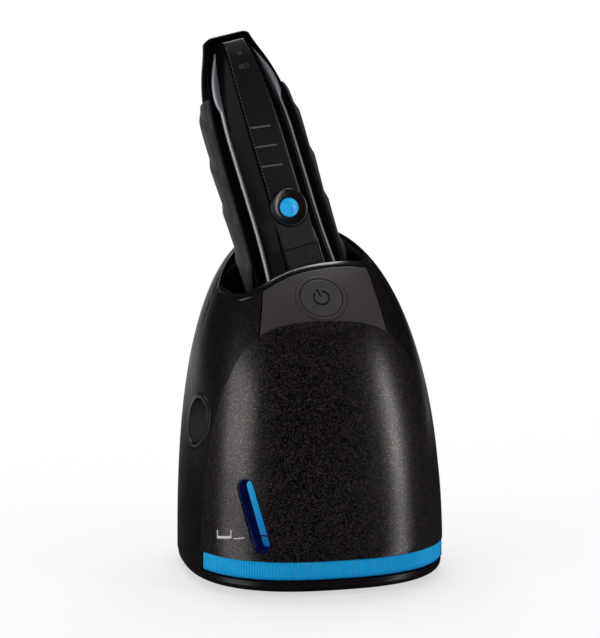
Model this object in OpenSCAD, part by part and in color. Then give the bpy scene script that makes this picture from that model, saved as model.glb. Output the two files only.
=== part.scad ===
// Shaver cleaning station with the shaver docked head down in its bowl.
// Millimetres, +Z up. X runs to the right as seen from the front, Y to the back.
// The origin is the middle of the underside, on the table.

/* [Housing] */
// Width of the housing at its foot
body_w = 134; // [130:1:140]
// Depth from the middle line to the front
front_depth = 67; // [65:0.5:70]
// Depth from the middle line to the back
back_depth = 66.8; // [65:0.1:70]
// Height of the crown, before the bowl is cut into it
body_h = 175; // [172:1:180]
// How far the crown lies behind the foot
crown_back = 28; // [26:0.5:30]
// Fullness of the upright section, where 2 is an ellipse
crown_power = 2.48; // [2.4:0.02:2.6]
// Fullness of the plan, where 2 is an ellipse
plan_power = 2.55; // [2.4:0.05:2.7]
// How late the crown starts to lean back
lean_power = 2.25; // [2:0.05:2.5]
// Wall of the moulded housing
shell_wall = 2.4; // [2:0.1:2.8]
// Gap at the seams between two mouldings
seam = 0.3; // [0.2:0.05:0.4]

/* [Front and control panels] */
// Distance of the front panel's side edges from the middle line
arch_side = 32.5; // [32:0.5:34]
// The same distance at the top of the panel
arch_front = 36.5; // [35.5:0.5:38]
// How far the front panel stands proud
panel_proud = 0.5; // [0.3:0.1:0.8]
// Width of the control panel at its foot
control_foot_w = 66; // [62:1:68]
// Width of the control panel at the bowl
control_top_w = 57; // [54:1:60]

/* [Level window] */
// Height of the window's middle above the table
window_z = 40; // [39:0.5:41]
// Place of the window's middle left of the middle line
window_x = 41; // [40:0.5:42]
// Length of the window between its end centres
window_run = 28.8; // [26:0.2:30]
// Width of the window
window_w = 9.2; // [8:0.2:9.6]
// Lean of the window from upright
window_lean = 18.5; // [17:0.5:20]

/* [Base] */
// Height of the rubber feet
foot_h = 2; // [1.5:0.1:3]
// Diameter of the rubber feet
foot_d = 14; // [12:0.5:18]
// Spread of the feet to each side
foot_x = 39; // [37:1:41]
// Place of the front feet
foot_front = 33; // [31:1:34]
// Place of the back feet
foot_back = 34; // [31:1:36]
// Height of the base's edge above the table
base_h = 7.8; // [7.4:0.1:8]
// Radius of the base's lower edge
base_round = 4; // [3:0.5:5]
// Thickness of the bottom cover plate
cover_t = 1.4; // [1.2:0.1:1.6]

/* [Cartridge] */
// Height of the cartridge's top above the table
cartridge_top = 56.5; // [54:0.5:57]
// Half width of the cartridge tank
tank_half_w = 55.5; // [53:0.5:56]
// Depth of the tank in front of the middle line
tank_front = 59.4; // [56:0.2:59.6]
// Depth of the tank behind the middle line
tank_back = 24; // [18:1:26]
// Wall of the tank
tank_wall = 1.6; // [1.2:0.1:2]
// Height of the ribbed front lip
strip_h = 9; // [8:0.5:9.5]
// Pitch of the fine ribs on the lip
rib_pitch = 2; // [1.8:0.1:3]
// Diameter of the two ports in the lid
port_d = 12; // [10:0.5:14]

/* [Lift] */
// How far the housing rises so that the cartridge comes out
lift_travel = 40; // [39.5:0.5:42]
// Diameter of the guide posts
post_d = 8; // [6:0.5:9]
// Spread of the posts to each side
post_x = 40; // [38:0.5:41]
// Place of the posts behind the middle line
post_y = 44; // [42:0.5:45]
// Length of post that stays in its bushing when the housing is up
post_hold = 12; // [10:1:14]
// Running clearance of post in bushing, radial
run_gap = 0.08; // [0.03:0.01:0.1]
// Outer diameter of the bushings
bushing_d = 13; // [11.5:0.5:14]
// Underside of the chassis deck
deck_z = 60; // [59.5:0.5:62]
// Thickness of the chassis deck
deck_t = 3; // [2.5:0.1:3.5]

/* [Buttons] */
// Diameter of the start button
start_d = 21.5; // [20:0.5:23]
// Outer diameter of the start button's ring
start_ring_d = 26.6; // [25.5:0.2:28]
// Height of the start button's centre
start_z = 142.7; // [141:0.1:144]
// Travel of the start button
start_press = 0.9; // [0.5:0.1:1.2]
// Diameter of the lift button on the left side
lift_d = 22; // [20:0.5:24]
// Outer diameter of the lift button's ring
lift_ring_d = 29; // [27:0.5:31]
// Height of the lift button's centre
lift_z = 80; // [78:1:84]
// Place of the lift button in front of the middle line
lift_y = 15; // [12:1:18]
// Travel of the lift button
lift_press = 2; // [1:0.1:2.5]

/* [Bowl] */
// Sideways lean of the bowl and the shaver, to the left
lean_side = 14.5; // [13:0.5:16]
// Backward lean of the bowl and the shaver
lean_back = 12; // [11:0.5:13]
// Turn of the bowl and the shaver about their own axis
bowl_turn = 5.5; // [4:0.5:7]
// Place of the bowl's axis at the height bowl_z
bowl_x = -6.2; // [-8:0.1:-4]
// Place of the bowl's axis at the height bowl_z, to the back
bowl_y = 4.7; // [3:0.1:6]
// Height at which the bowl's axis is placed
bowl_z = 150; // [148:0.5:152]
// Half width of the opening, across the axis
bowl_half_w = 39.4; // [38:0.1:41]
// Half depth of the opening, across the axis
bowl_half_d = 22.9; // [22:0.1:24]
// Fullness of the opening's outline
bowl_power = 3.2; // [2.8:0.1:3.6]
// Depth of the bowl's floor below the point on its axis
bowl_depth = 42; // [40:0.5:44]
// Wall of the bowl
bowl_wall = 2; // [1.6:0.1:2.4]
// Diameter of the drain
drain_d = 9; // [7:0.5:10]

/* [Shaver] */
// Length of the shaver from foils to end cap
shaver_l = 162; // [158:1:166]
// How far the end cap stands above the point on the bowl's axis
shaver_top = 129; // [126:1:131]
// Half width of the handle core at its middle
handle_half_w = 24.6; // [23.5:0.1:25.5]
// Half thickness of the handle core at its back
handle_half_t = 16.6; // [16:0.1:17.2]
// Depth of the seam between front panel and core, in front of the axis
panel_seam = 7.7; // [7:0.1:8.2]
// Distance of the front strip in front of the axis
strip_front = 17.8; // [17:0.1:18.4]
// Half width of the front strip
strip_half_w = 10; // [9:0.1:10.5]
// Half width of the front panel at its silver edge
flank_half_w = 16.2; // [15.5:0.1:17]
// Width of the silver trim
trim_w = 1.7; // [1.2:0.1:2]
// Thickness of the rubber grips
grip_t = 1.6; // [1.2:0.1:2]
// Height of the waves in the grips
grip_wave = 1.1; // [0.6:0.1:1.4]
// Length of one wave
wave_pitch = 24.2; // [20:0.2:28]
// Place of the power switch along the handle
switch_w = 33.5; // [32:0.5:36]
// Outer diameter of the switch ring
switch_ring_d = 19.4; // [18:0.2:20]
// Diameter of the blue switch button
switch_d = 9.6; // [9:0.2:11]
// Travel of the switch
switch_press = 0.8; // [0.4:0.1:1]

/* [Pump] */
// Place of the pump's shaft to the right
pump_x = 26; // [24:1:28]
// Place of the pump's shaft to the back
pump_y = 14; // [12:1:18]
// Diameter of the pump housing
pump_d = 30; // [28:1:32]
// Diameter of the motor
motor_d = 24; // [22:0.5:26]
// Diameter of the shaft
shaft_d = 3; // [2:0.5:4]

/* [Hidden] */
fine = 48;
// Steps of the moulded surfaces: across the front panel and up it, round the housing and up it
panel_across = 22;
panel_up = 15;
shell_round = 34;
shell_low = 11;
shell_up = 18;
bowl_round = 40;
rim_spare = 1.5;
floor_t = 2;
tray_floor = base_h - 2;
shell_foot = base_h + seam;
strip_foot = base_h + 0.9;
panel_foot = strip_foot + strip_h + seam;
lid_t = 1.6;
fit = 0.3;
touch = 0.05;

// ---- the domed housing: every level is the same rounded plan, smaller and further back towards the crown
function crown_share(z) = pow(max(0, 1 - pow(max(z, 0) / body_h, crown_power)), 1 / crown_power);
function half_w(z) = body_w / 2 * crown_share(z);
function mid_y(z) = crown_back * pow(max(z, 0) / body_h, lean_power);
function rounded(c) = sign(c) * pow(abs(c), 2 / plan_power);
function dome_at(turn, z) = [
    half_w(z) * rounded(cos(turn)),
    mid_y(z) + (sin(turn) < 0 ? front_depth : back_depth) * crown_share(z) * rounded(sin(turn)),
    z
];
function front_y(x, z) = mid_y(z) - front_depth * crown_share(z)
    * pow(max(0, 1 - pow(abs(x) / half_w(z), plan_power)), 1 / plan_power);
function side_depth(p) = p.y < mid_y(p.z) ? front_depth : back_depth;
// How far a point lies outside the housing (below 0 inside), and the direction in which that grows
function outside(p) = pow(abs(p.x) / (body_w / 2), plan_power)
    + pow(abs(p.y - mid_y(p.z)) / side_depth(p), plan_power) - pow(crown_share(p.z), plan_power);
function slope(p) = let(
        dx = plan_power * pow(abs(p.x), plan_power - 1) / pow(body_w / 2, plan_power) * sign(p.x),
        dy = plan_power * pow(abs(p.y - mid_y(p.z)), plan_power - 1) / pow(side_depth(p), plan_power)
            * sign(p.y - mid_y(p.z)),
        lean = crown_back * lean_power / body_h * pow(p.z / body_h, lean_power - 1),
        rise = plan_power / body_h * pow(p.z / body_h, crown_power - 1)
            * pow(max(0, 1 - pow(p.z / body_h, crown_power)), plan_power / crown_power - 1)
    ) [dx, dy, rise - dy * lean];
function unit(v) = v / norm(v);
function off_dome(p, gap) = p + unit(slope(p)) * gap;
// The point of the housing's surface met from p along the direction way
function drop(p, way, tries = 5) = tries == 0 ? p
    : drop(p - way * outside(p) / (slope(p) * way), way, tries - 1);
function midway(low, high, share) = low + (high - low) * share;

// ---- the bowl's own frame: u across, v to the back, w up along the leaning axis
function turn_x(p, a) = [p.x, p.y * cos(a) - p.z * sin(a), p.y * sin(a) + p.z * cos(a)];
function turn_y(p, a) = [p.x * cos(a) + p.z * sin(a), p.y, p.z * cos(a) - p.x * sin(a)];
function turn_z(p, a) = [p.x * cos(a) - p.y * sin(a), p.x * sin(a) + p.y * cos(a), p.z];
function from_bowl(q) = [bowl_x, bowl_y, bowl_z] + turn_x(turn_y(turn_z(q, bowl_turn), -lean_side),
    -lean_back);
function to_bowl(p) = turn_z(turn_y(turn_x(p - [bowl_x, bowl_y, bowl_z], lean_back), lean_side), -bowl_turn);
module in_bowl() {
    translate([bowl_x, bowl_y, bowl_z]) rotate([-lean_back, 0, 0]) rotate([0, -lean_side, 0])
        rotate([0, 0, bowl_turn]) children();
}
function in_opening(p) = let(q = to_bowl(p))
    pow(abs(q.x) / (bowl_half_w - rim_spare), bowl_power) + pow(abs(q.y) / (bowl_half_d - rim_spare),
        bowl_power) < 1;
function bowl_edge(turn, inset, w) = [
    (bowl_half_w - inset) * sign(cos(turn)) * pow(abs(cos(turn)), 2 / bowl_power),
    (bowl_half_d - inset) * sign(sin(turn)) * pow(abs(sin(turn)), 2 / bowl_power),
    w
];

// ---- edges of the panels
// The front panel's edge runs straight up its sides and comes forward over the last of its height
arch_bend = 112;
arch_rise = 20;
function edge_front(z) = midway(arch_side, arch_front, pow(max(0, (z - arch_bend) / arch_rise), 3));
function arch_half(z) = let(s = (mid_y(z) + edge_front(z)) / (front_depth * crown_share(z)))
    half_w(z) * pow(max(0, 1 - pow(min(1, s), plan_power)), 1 / plan_power);
function arch_height(x, low = 60, high = 0.97 * body_h, tries = 20) = let(z = (low + high) / 2)
    tries == 0 ? z : arch_half(z) > abs(x) ? arch_height(x, z, high, tries - 1)
        : arch_height(x, low, z, tries - 1);
arch_top = arch_height(0);
control_foot_z = arch_height(control_foot_w / 2);
function rim_height(x, low = 120, high = 0.985 * body_h, tries = 20) = let(z = (low + high) / 2)
    tries == 0 ? z : in_opening([x, front_y(x, z), z]) ? rim_height(x, low, z, tries - 1)
    : rim_height(x, z, high, tries - 1);
rim_left = rim_height(-control_top_w / 2);
rim_right = rim_height(control_top_w / 2);
// Half width at which the shell's front edge runs, beside the front panel and then the control panel
function front_edge(z, rim) = z < control_foot_z ? arch_half(z)
    : midway(control_foot_w / 2, control_top_w / 2, (z - control_foot_z) / (rim - control_foot_z));
function edge_turn(z, rim) = acos(min(1, pow(front_edge(z, rim) / half_w(z), plan_power / 2)));
function shell_turn(share, z) = midway(-edge_turn(z, rim_right), 180 + edge_turn(z, rim_left), share);
function shell_rim(share, low = 110, high = body_h - 0.05, tries = 20) = let(z = (low + high) / 2)
    tries == 0 ? z : in_opening(dome_at(shell_turn(share, z), z)) ? shell_rim(share, low, z, tries - 1)
    : shell_rim(share, z, high, tries - 1);
// The same rim as met from the bowl's own wall
function wall_rim(turn, inset, low = -45, high = 40, tries = 18) = let(w = (low + high) / 2)
    tries == 0 ? w : outside(from_bowl(bowl_edge(turn, inset, w))) > 0
        ? wall_rim(turn, inset, low, w, tries - 1)
    : wall_rim(turn, inset, w, high, tries - 1);

// ---- solids from grids of points
module body_of_rings(rings) {
    n = len(rings[0]);
    top = len(rings) - 1;
    points = concat([for (r = rings) each r], [centre_of(rings[0]), centre_of(rings[top])]);
    polyhedron(points, concat(
        [for (i = [0:n - 1]) [i, (i + 1) % n, n * (top + 1)]],
        [for (k = [0:top - 1], i = [0:n - 1]) each let(j = (i + 1) % n, a = k * n, b = a + n)
            [[a + i, b + i, b + j], [a + i, b + j, a + j]]],
        [for (i = [0:n - 1]) [top * n + (i + 1) % n, top * n + i, n * (top + 1) + 1]]
    ));
}
// The bowl's opening as a straight cutter. The mouldings are drawn rim_spare too far in and end along it
module opening_cut() {
    in_bowl() translate([0, 0, -60]) linear_extrude(120)
        polygon([for (i = [0:2 * bowl_round - 1]) let(p = bowl_edge(180 * i / bowl_round, 0, 0)) [p.x, p.y]]);
}
function centre_of(ring) = [for (k = [0:2]) mean([for (p = ring) p[k]])];
function mean(v) = v * [for (k = v) 1] / len(v);

module sheet(outer, inner, closed = false) {
    m = len(outer);
    n = len(outer[0]);
    all = m * n;
    last = closed ? n - 1 : n - 2;
    side = closed ? [] : [for (k = [0:m - 2]) each let(a = k * n, b = a + n) concat(
        pair(b, a, all + a, all + b), pair(a + n - 1, b + n - 1, all + b + n - 1, all + a + n - 1))];
    polyhedron(concat([for (r = outer) each r], [for (r = inner) each r]), concat(
        [for (k = [0:m - 2], i = [0:last]) each let(j = (i + 1) % n, a = k * n, b = a + n)
            concat(pair(a + i, b + i, b + j, a + j), pair(all + a + j, all + b + j, all + b + i, all
                + a + i))],
        [for (i = [0:last]) each let(j = (i + 1) % n) pair(i, j, all + j, all + i)],
        [for (i = [0:last]) each let(j = (i + 1) % n, t = (m - 1) * n) pair(t + j, t + i, all + t
            + i, all + t + j)],
        side
    ));
}
function pair(a, b, c, d) = [[a, b, c], [a, c, d]];

// ---- plans
function plan_at(z, inset, steps = 72) = [for (i = [0:steps - 1]) let(t = 360 * (i + 0.5) / steps)
    [(half_w(z) - inset) * rounded(cos(t)),
     mid_y(z) + ((sin(t) < 0 ? front_depth : back_depth) * crown_share(z) - inset) * rounded(sin(t))]];
function tank_plan(inset) = concat(
    [for (i = [0:36]) let(t = 180 + 5 * i) [(tank_half_w - inset) * rounded(cos(t)),
        (tank_front - inset) * rounded(sin(t))]],
    [for (i = [0:5]) let(t = 18 * i) [tank_half_w - 8 + (8 - inset) * cos(t), tank_back - 8
        + (8 - inset) * sin(t)]],
    [for (i = [0:5]) let(t = 90 + 18 * i) [8 - tank_half_w + (8 - inset) * cos(t), tank_back - 8
        + (8 - inset) * sin(t)]]
);
module at_corners(x, front, back) {
    for (side = [-1, 1]) {
        translate([side * x, -front, 0]) children();
        translate([side * x, back, 0]) children();
    }
}
module pipe(outer, inner, low, high) {
    translate([0, 0, low]) difference() {
        cylinder(d = outer, h = high - low, $fn = fine);
        translate([0, 0, -1]) cylinder(d = inner, h = high - low + 2, $fn = fine);
    }
}

// ==== base ====
tray_steps = 48;
// Height at which the housing's outline is taken for the base
base_plan_z = 8;
cover_inset = 9.3;
module base_tray() {
    wall = 2.6;
    outer_rings = [for (k = [0:4]) let(a = 90 * k / 4)
        [for (p = plan_at(base_plan_z, 0.4 + base_round * (1 - sin(a)), tray_steps)) [p.x, p.y, foot_h + 0.1
            + base_round * (1 - cos(a))]]];
    top_ring = [for (p = plan_at(base_plan_z, 0.4, tray_steps)) [p.x, p.y, base_h]];
    top_inner = [for (p = plan_at(base_plan_z, 0.4 + wall, tray_steps)) [p.x, p.y, base_h]];
    floor_ring = [for (p = plan_at(base_plan_z, 0.5 + wall, tray_steps)) [p.x, p.y, tray_floor]];
    color("#1b1719") union() {
        difference() {
            body_of_rings(concat(outer_rings, [top_ring, top_inner, floor_ring]));
            translate([0, 0, 0]) linear_extrude(foot_h + cover_t + 0.2)
                polygon(plan_at(base_plan_z, cover_inset - 0.3, 40));
            at_corners(screw_x, screw_y, screw_y) cylinder(d = screw_hole_d, h = tray_floor - 0.4, $fn = 24);
            at_corners(foot_x, foot_front, foot_back) {
                cylinder(d = foot_d + 0.3, h = foot_h + 0.3, $fn = fine);
                cylinder(d = foot_d - 4 + 0.3, h = foot_h + 1, $fn = fine);
            }
        }
        for (side = [-1, 1]) {
            translate([side * post_x, post_y, 0]) pipe(post_d + 8, post_d
                + 0.1, tray_floor - touch, boss_top);
            translate([side * (tank_half_w + fit + 1) - 1, 0, tray_floor - touch]) cube([2, tank_back, 6]);
        }
        translate([-30, tank_back + fit, tray_floor - touch]) cube([60, 2, 12]);
    }
}
boss_top = tray_floor + 8;
post_top = deck_z + lift_travel + post_hold;
screw_hole_d = 2.6;
screw_x = 22;
screw_y = 34;

module base_cover() {
    color("#151315") difference() {
        translate([0, 0, foot_h + 0.2]) linear_extrude(cover_t)
            polygon(plan_at(base_plan_z, cover_inset, 40));
        at_corners(screw_x, screw_y, screw_y) translate([0, 0, foot_h]) {
            cylinder(d = 3.2, h = cover_t + 1, $fn = 24);
            cylinder(d = 6.4, h = 0.9, $fn = 24);
        }
        at_corners(foot_x, foot_front, foot_back) translate([0, 0, foot_h]) {
            cylinder(d = foot_d + 0.3, h = 0.3, $fn = fine);
            cylinder(d = foot_d - 4 + 0.3, h = 1, $fn = fine);
        }
    }
}

module rubber_feet() {
    color("#2b2b2e") at_corners(foot_x, foot_front, foot_back) union() {
        cylinder(d1 = foot_d - 1, d2 = foot_d, h = 0.6, $fn = fine);
        translate([0, 0, 0.6]) cylinder(d = foot_d, h = foot_h + 0.2 - 0.6, $fn = fine);
        translate([0, 0, foot_h]) cylinder(d = foot_d - 4, h = 0.85, $fn = fine);
    }
}

module base_screws() {
    color("#8d9094") at_corners(screw_x, screw_y, screw_y) difference() {
        union() {
            translate([0, 0, foot_h + 0.1]) cylinder(d = 6, h = 0.8, $fn = fine);
            translate([0, 0, foot_h + 0.8]) cylinder(d = 2.5, h = tray_floor - foot_h - 1.6, $fn = 24);
        }
        for (a = [0, 90]) rotate(a) translate([-1.7, -0.3, foot_h]) cube([3.4, 0.6, 0.6]);
    }
}

module guide_posts() {
    color("#b9bcc0") for (side = [-1, 1]) translate([side * post_x, post_y, tray_floor])
        union() {
            cylinder(d = post_d, h = post_top - tray_floor - 1.5, $fn = fine);
            translate([0, 0, post_top - tray_floor - 1.5]) cylinder(d1 = post_d, d2 = post_d - 3,
                h = 1.5, $fn = fine);
        }
}

spring_turns = 8;
spring_wire = 1.2;
spring_r = post_d / 2 + 0.5 + spring_wire / 2;
module lift_springs() {
    low = boss_top + fit + spring_wire / 2;
    high = deck_z - fit - spring_wire / 2;
    steps = 9 * spring_turns;
    color("#9a9da1") for (side = [-1, 1]) translate([side * post_x, post_y, 0])
        body_of_rings([for (k = [0:steps]) let(t = 40 * k, z = midway(low, high, k / steps))
            [for (i = [0:4]) let(a = -72 * i, r = spring_r + spring_wire / 2 * cos(a))
                [r * cos(t), r * sin(t), z + spring_wire / 2 * sin(a)]]]);
}

latch_x = tank_half_w + 3.9;
module latch_post() {
    color("#2a2628") difference() {
        translate([-latch_x, -lift_y - 7, tray_floor]) cube([latch_t, 14, latch_top - tray_floor]);
        translate([-latch_x - 1, -lift_y - 4, latch_top - 7]) cube([4, 8, 3.5]);
    }
}
latch_top = 65;
latch_t = 2.1;

// ==== cartridge ====
module cartridge_tank() {
    color("#0e93d2") difference() {
        translate([0, 0, tray_floor]) linear_extrude(cartridge_top - lid_t - tray_floor)
            polygon(tank_plan(0));
        translate([0, 0, tray_floor + 1.8]) linear_extrude(cartridge_top) polygon(tank_plan(tank_wall));
    }
}

// Outline of the front lip: the housing's plan, with a fine rib at every pitch
function lip_x() = arch_half(strip_foot + strip_h / 2) - 2 * seam;
function lip_outer(inset) = [for (x = [-lip_x():rib_pitch / 2:lip_x() + 0.01])
    let(p = [x, front_y(x, strip_foot + strip_h / 2)], n = slope([p.x, p.y, strip_foot]),
        g = unit([n.x, n.y]))
    p - g * (inset + 0.35 * abs(round(x / rib_pitch) * rib_pitch - x) / rib_pitch * 2)];
module cartridge_strip() {
    outer = lip_outer(0.1);
    inner = lip_outer(3.4);
    color("#10a0e0") union() {
        translate([0, 0, strip_foot]) linear_extrude(strip_h)
            polygon(concat(outer, [for (k = [len(inner) - 1:-1:0]) inner[k]]));
        translate([0, 0, strip_foot]) linear_extrude(1.6) difference() {
            polygon(concat([for (p = lip_outer(1)) p], [[lip_x() - 3, -arch_side],
                [3 - lip_x(), -arch_side]]));
            polygon(tank_plan(-0.1));
        }
    }
}

drain_at = from_bowl([-25, 11, -bowl_depth - floor_t]);
lid_z = cartridge_top - lid_t;
module cartridge_lid() {
    color("#1583bd") difference() {
        union() {
            translate([0, 0, lid_z]) linear_extrude(lid_t) polygon(tank_plan(0));
            translate([0, 0, lid_z - 2]) linear_extrude(2 + touch) difference() {
                polygon(tank_plan(tank_wall + 0.15));
                polygon(tank_plan(tank_wall + 1.6));
            }
        }
        translate([drain_at.x, drain_at.y, lid_z - 1]) cylinder(d = port_d, h = lid_t + 2, $fn = fine);
        translate([pump_x, pump_y, lid_z - 1]) cylinder(d = port_d, h = lid_t + 2, $fn = fine);
    }
}

module cartridge_filter() {
    color("#d8dcde") translate([drain_at.x, drain_at.y, 0]) union() {
        pipe(port_d + 6, port_d - 1, lid_z - 1.2, lid_z);
        pipe(port_d - 0.4, port_d - 2.4, lid_z - 14, lid_z - 1);
        difference() {
            translate([0, 0, lid_z - 14]) cylinder(d = port_d - 1, h = 1, $fn = fine);
            for (a = [0:60:300]) rotate(a) translate([2.8, 0, lid_z - 15]) cylinder(d = 1.4, h = 3, $fn = 16);
        }
    }
}

// ==== housing mouldings ====
// The rows end on the control panel's foot on the way up, and get closer towards it and towards the rim
function shell_row(k, rim) = k < shell_low ? midway(shell_foot, control_foot_z,
    1 - pow(1 - k / shell_low, 1.6))
    : midway(control_foot_z, rim, 1 - pow(1 - (k - shell_low) / (shell_up - shell_low), 1.4));
function drop_edge(share, z) = let(t = shell_turn(share, z), p = dome_at(t, z),
        n = unit([slope(p).x, slope(p).y]), side = share == 0 ? 1 : share == 1 ? -1 : 0)
    p + side * seam / 2 * [-n.y, n.x, 0];
lift_at = drop([-half_w(lift_z), -lift_y, lift_z], [1, 0, 0]);
inlet_z = 30;
inlet_w = 20;
inlet_h = 14;
module housing_shell() {
    outer = [for (k = [0:shell_up]) [for (i = [0:shell_round])
        let(share = i / shell_round) drop_edge(share, shell_row(k, shell_rim(share)))]];
    inner = [for (r = outer) [for (p = r) off_dome(p, -shell_wall)]];
    color("#262022") difference() {
        sheet(outer, inner);
        translate([-body_w, lift_at.y, lift_z]) rotate([0, 90, 0])
            cylinder(d = lift_ring_d, h = body_w, $fn = fine);
        translate([-inlet_w / 2, 40, inlet_z - inlet_h / 2]) cube([inlet_w, back_depth, inlet_h]);
        opening_cut();
    }
}

function panel_point(share, up) = let(z = midway(panel_foot, arch_top - 0.12, pow(sin(90 * up), 0.85)),
        x = max(0.01, arch_half(z) - seam / 2) * sin(90 * share)) [x, front_y(x, z), z];
module window_shape(grow) {
    turn = window_turn();
    translate([-window_x, front_y(-window_x, window_z), window_z]) rotate([0, 0, -turn])
        rotate([90, -window_lean, 0])
        translate([0, 0, -12]) {
            for (end = [-1, 1]) translate([0, end * window_run / 2, 0])
                cylinder(d = window_w + 2 * grow, h = 24, $fn = fine);
            translate([-window_w / 2 - grow, -window_run / 2, 0]) cube([window_w + 2 * grow, window_run, 24]);
        }
}
function window_turn() = let(n = slope([-window_x, front_y(-window_x, window_z),
    window_z])) atan2(-n.x, -n.y);
module front_panel() {
    grid = [for (k = [0:panel_up]) [for (i = [0:panel_across]) panel_point(2 * i / panel_across - 1,
        k / panel_up)]];
    color("#121114") difference() {
        sheet([for (r = grid) [for (p = r) off_dome(p, panel_proud)]],
            [for (r = grid) [for (p = r) off_dome(p, panel_proud - shell_wall)]]);
        window_shape(0);
    }
}

// The window is a blue cup behind the slot: its floor shows the level in the tank
module level_window() {
    color("#1d6f9e") difference() {
        intersection() {
            sheet(window_skin(window_sunk), window_skin(window_deep + window_floor_t));
            window_shape(-window_gap);
        }
        difference() {
            window_shape(-window_gap - window_wall);
            sheet(window_skin(window_deep), window_skin(window_deep + window_floor_t + 1.8));
        }
    }
}
window_gap = 0.1;
window_wall = 0.8;
// How far the cup's mouth, and then its floor, lie behind the panel's face
window_sunk = 0.6;
window_deep = 3.6;
window_floor_t = 1.2;
window_reach_x = 12;
window_reach_z = 22;
window_steps = 9;
function window_skin(depth) = [for (k = [0:3]) [for (i = [0:window_steps])
    let(x = -window_x + midway(-window_reach_x, window_reach_x, i / window_steps),
        z = window_z + midway(-window_reach_z, window_reach_z, k / 3))
    off_dome([x, front_y(x, z), z], panel_proud - depth)]];

start_at = [0, front_y(0, start_z), start_z];
start_way = unit(slope(start_at));
function control_point(share, up) = let(
        x = share * (midway(control_foot_w, control_top_w, up) / 2 - seam),
        foot = arch_height(share * control_foot_w / 2), rim = rim_height(share * control_top_w / 2),
        z = midway(foot, rim, up) + (up == 0 ? seam / 2 : 0)) [x, front_y(x, z), z];
module along_start() {
    lean = acos(start_way.z);
    translate(start_at) rotate([lean, 0, 0]) children();
}
module control_panel() {
    grid = [for (k = [0:6]) [for (i = [0:16]) control_point(i / 8 - 1, k / 6)]];
    color("#3c3436") difference() {
        sheet(grid, [for (r = grid) [for (p = r) off_dome(p, -shell_wall)]]);
        along_start() translate([0, 0, -6]) cylinder(d = start_ring_d, h = 12, $fn = fine);
        opening_cut();
    }
}

// A round cap or ring that follows the housing's surface
function dome_ring(at, way, r, gap, steps) = let(side = unit(cross([0, 0, 1], way)), up = cross(way, side))
    [for (i = [0:steps - 1]) let(t = 360 * i / steps)
        drop(at + r * (cos(t) * side + sin(t) * up), way) + gap * way];
module dome_washer(at, way, inner_r, outer_r, gap, thick, steps = 40) {
    radii = [outer_r, inner_r];
    sheet([for (r = radii) dome_ring(at, way, r, gap, steps)],
        [for (r = radii) dome_ring(at, way, r, gap - thick, steps)], true);
}
module dome_cap(at, way, r, gap, thick, steps = 40) {
    body_of_rings(concat([dome_ring(at, way, r, gap - thick, steps)],
        [dome_ring(at, way, r, gap - 0.4, steps)],
        [for (s = [0.96, 0.8, 0.55, 0.25]) dome_ring(at, way, r * s, gap - 0.5 * (1 - s), steps)]));
}
module start_button_ring() {
    color("#332c2e") dome_washer(start_at, start_way, start_d / 2 + 0.35, start_ring_d / 2 - 0.15, 0.25, 2.2);
}
module lift_button_ring() {
    color("#211c1e") dome_washer(lift_at, [-1, 0, 0], lift_d / 2 + 0.35, lift_ring_d / 2 - 0.15, 0.25, 2.2);
}

// ==== buttons ====
module start_button() {
    color("#453c3f") difference() {
        union() {
            dome_cap(start_at, start_way, start_d / 2, 0.1, 1.9);
            along_start() translate([0, 0, -stem_end]) cylinder(d = 5, h = stem_end - 1.2, $fn = fine);
        }
        along_start() rotate(20) power_mark();
    }
}
stem_end = 3.4;
module power_mark() {
    translate([0, 0, -0.25]) difference() {
        cylinder(d = 8.6, h = 3, $fn = fine);
        translate([0, 0, -1]) cylinder(d = 6.8, h = 5, $fn = fine);
        translate([-1.7, 0, -1]) cube([3.4, 6, 5]);
    }
    translate([-0.45, 1, -0.25]) cube([0.9, 4.4, 3]);
}
arm_x = latch_x - latch_t - fit;
arm_t = 2;
module lift_button() {
    color("#2b2527") union() {
        dome_cap(lift_at, [-1, 0, 0], lift_d / 2, 0.2, 2);
        translate([lift_at.x + 1.5, lift_at.y, lift_z]) rotate([0, 90, 0])
            cylinder(d = 7, h = lift_at.x * -1 - arm_x + 4, $fn = fine);
        translate([-arm_x + 0.6, -lift_y - 3.5, latch_top - 7]) cube([arm_t, 7, lift_z - latch_top + 7]);
        translate([-arm_x, -lift_y - 3.5, latch_top - 6.6]) cube([1, 7, 2.6]);
    }
}

// ==== bowl and what stands on the deck ====
module cleaning_bowl() {
    gap = 0.25;
    steps = bowl_round;
    foot = -bowl_depth - floor_t;
    wall_in = gap + bowl_wall;
    color("#141315") difference() {
        body_of_rings(concat(
            [[for (i = [0:steps - 1]) from_bowl(bowl_edge(360 * i / steps, gap + 2, foot))]],
            [[for (i = [0:steps - 1]) from_bowl(bowl_edge(360 * i / steps, gap, foot + 2))]],
            [[for (i = [0:steps - 1]) let(t = 360 * i / steps) from_bowl(bowl_edge(t, gap,
                wall_rim(t, gap)))]],
            [[for (i = [0:steps - 1]) let(t = 360 * i / steps) from_bowl(bowl_edge(t, wall_in,
                wall_rim(t, wall_in)))]],
            [[for (i = [0:steps - 1]) from_bowl(bowl_edge(360 * i / steps, wall_in, foot + floor_t + 3))]],
            [[for (i = [0:steps - 1]) from_bowl(bowl_edge(360 * i / steps, wall_in + 3, foot + floor_t))]]
        ));
        translate([drain_at.x, drain_at.y, 80]) cylinder(d = drain_d, h = 40, $fn = fine);
        translate([wash_at.x, wash_at.y, 90]) cylinder(d = 4, h = 24, $fn = 24);
    }
}
wash_at = from_bowl([-8, 14, -bowl_depth - floor_t]);

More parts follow.
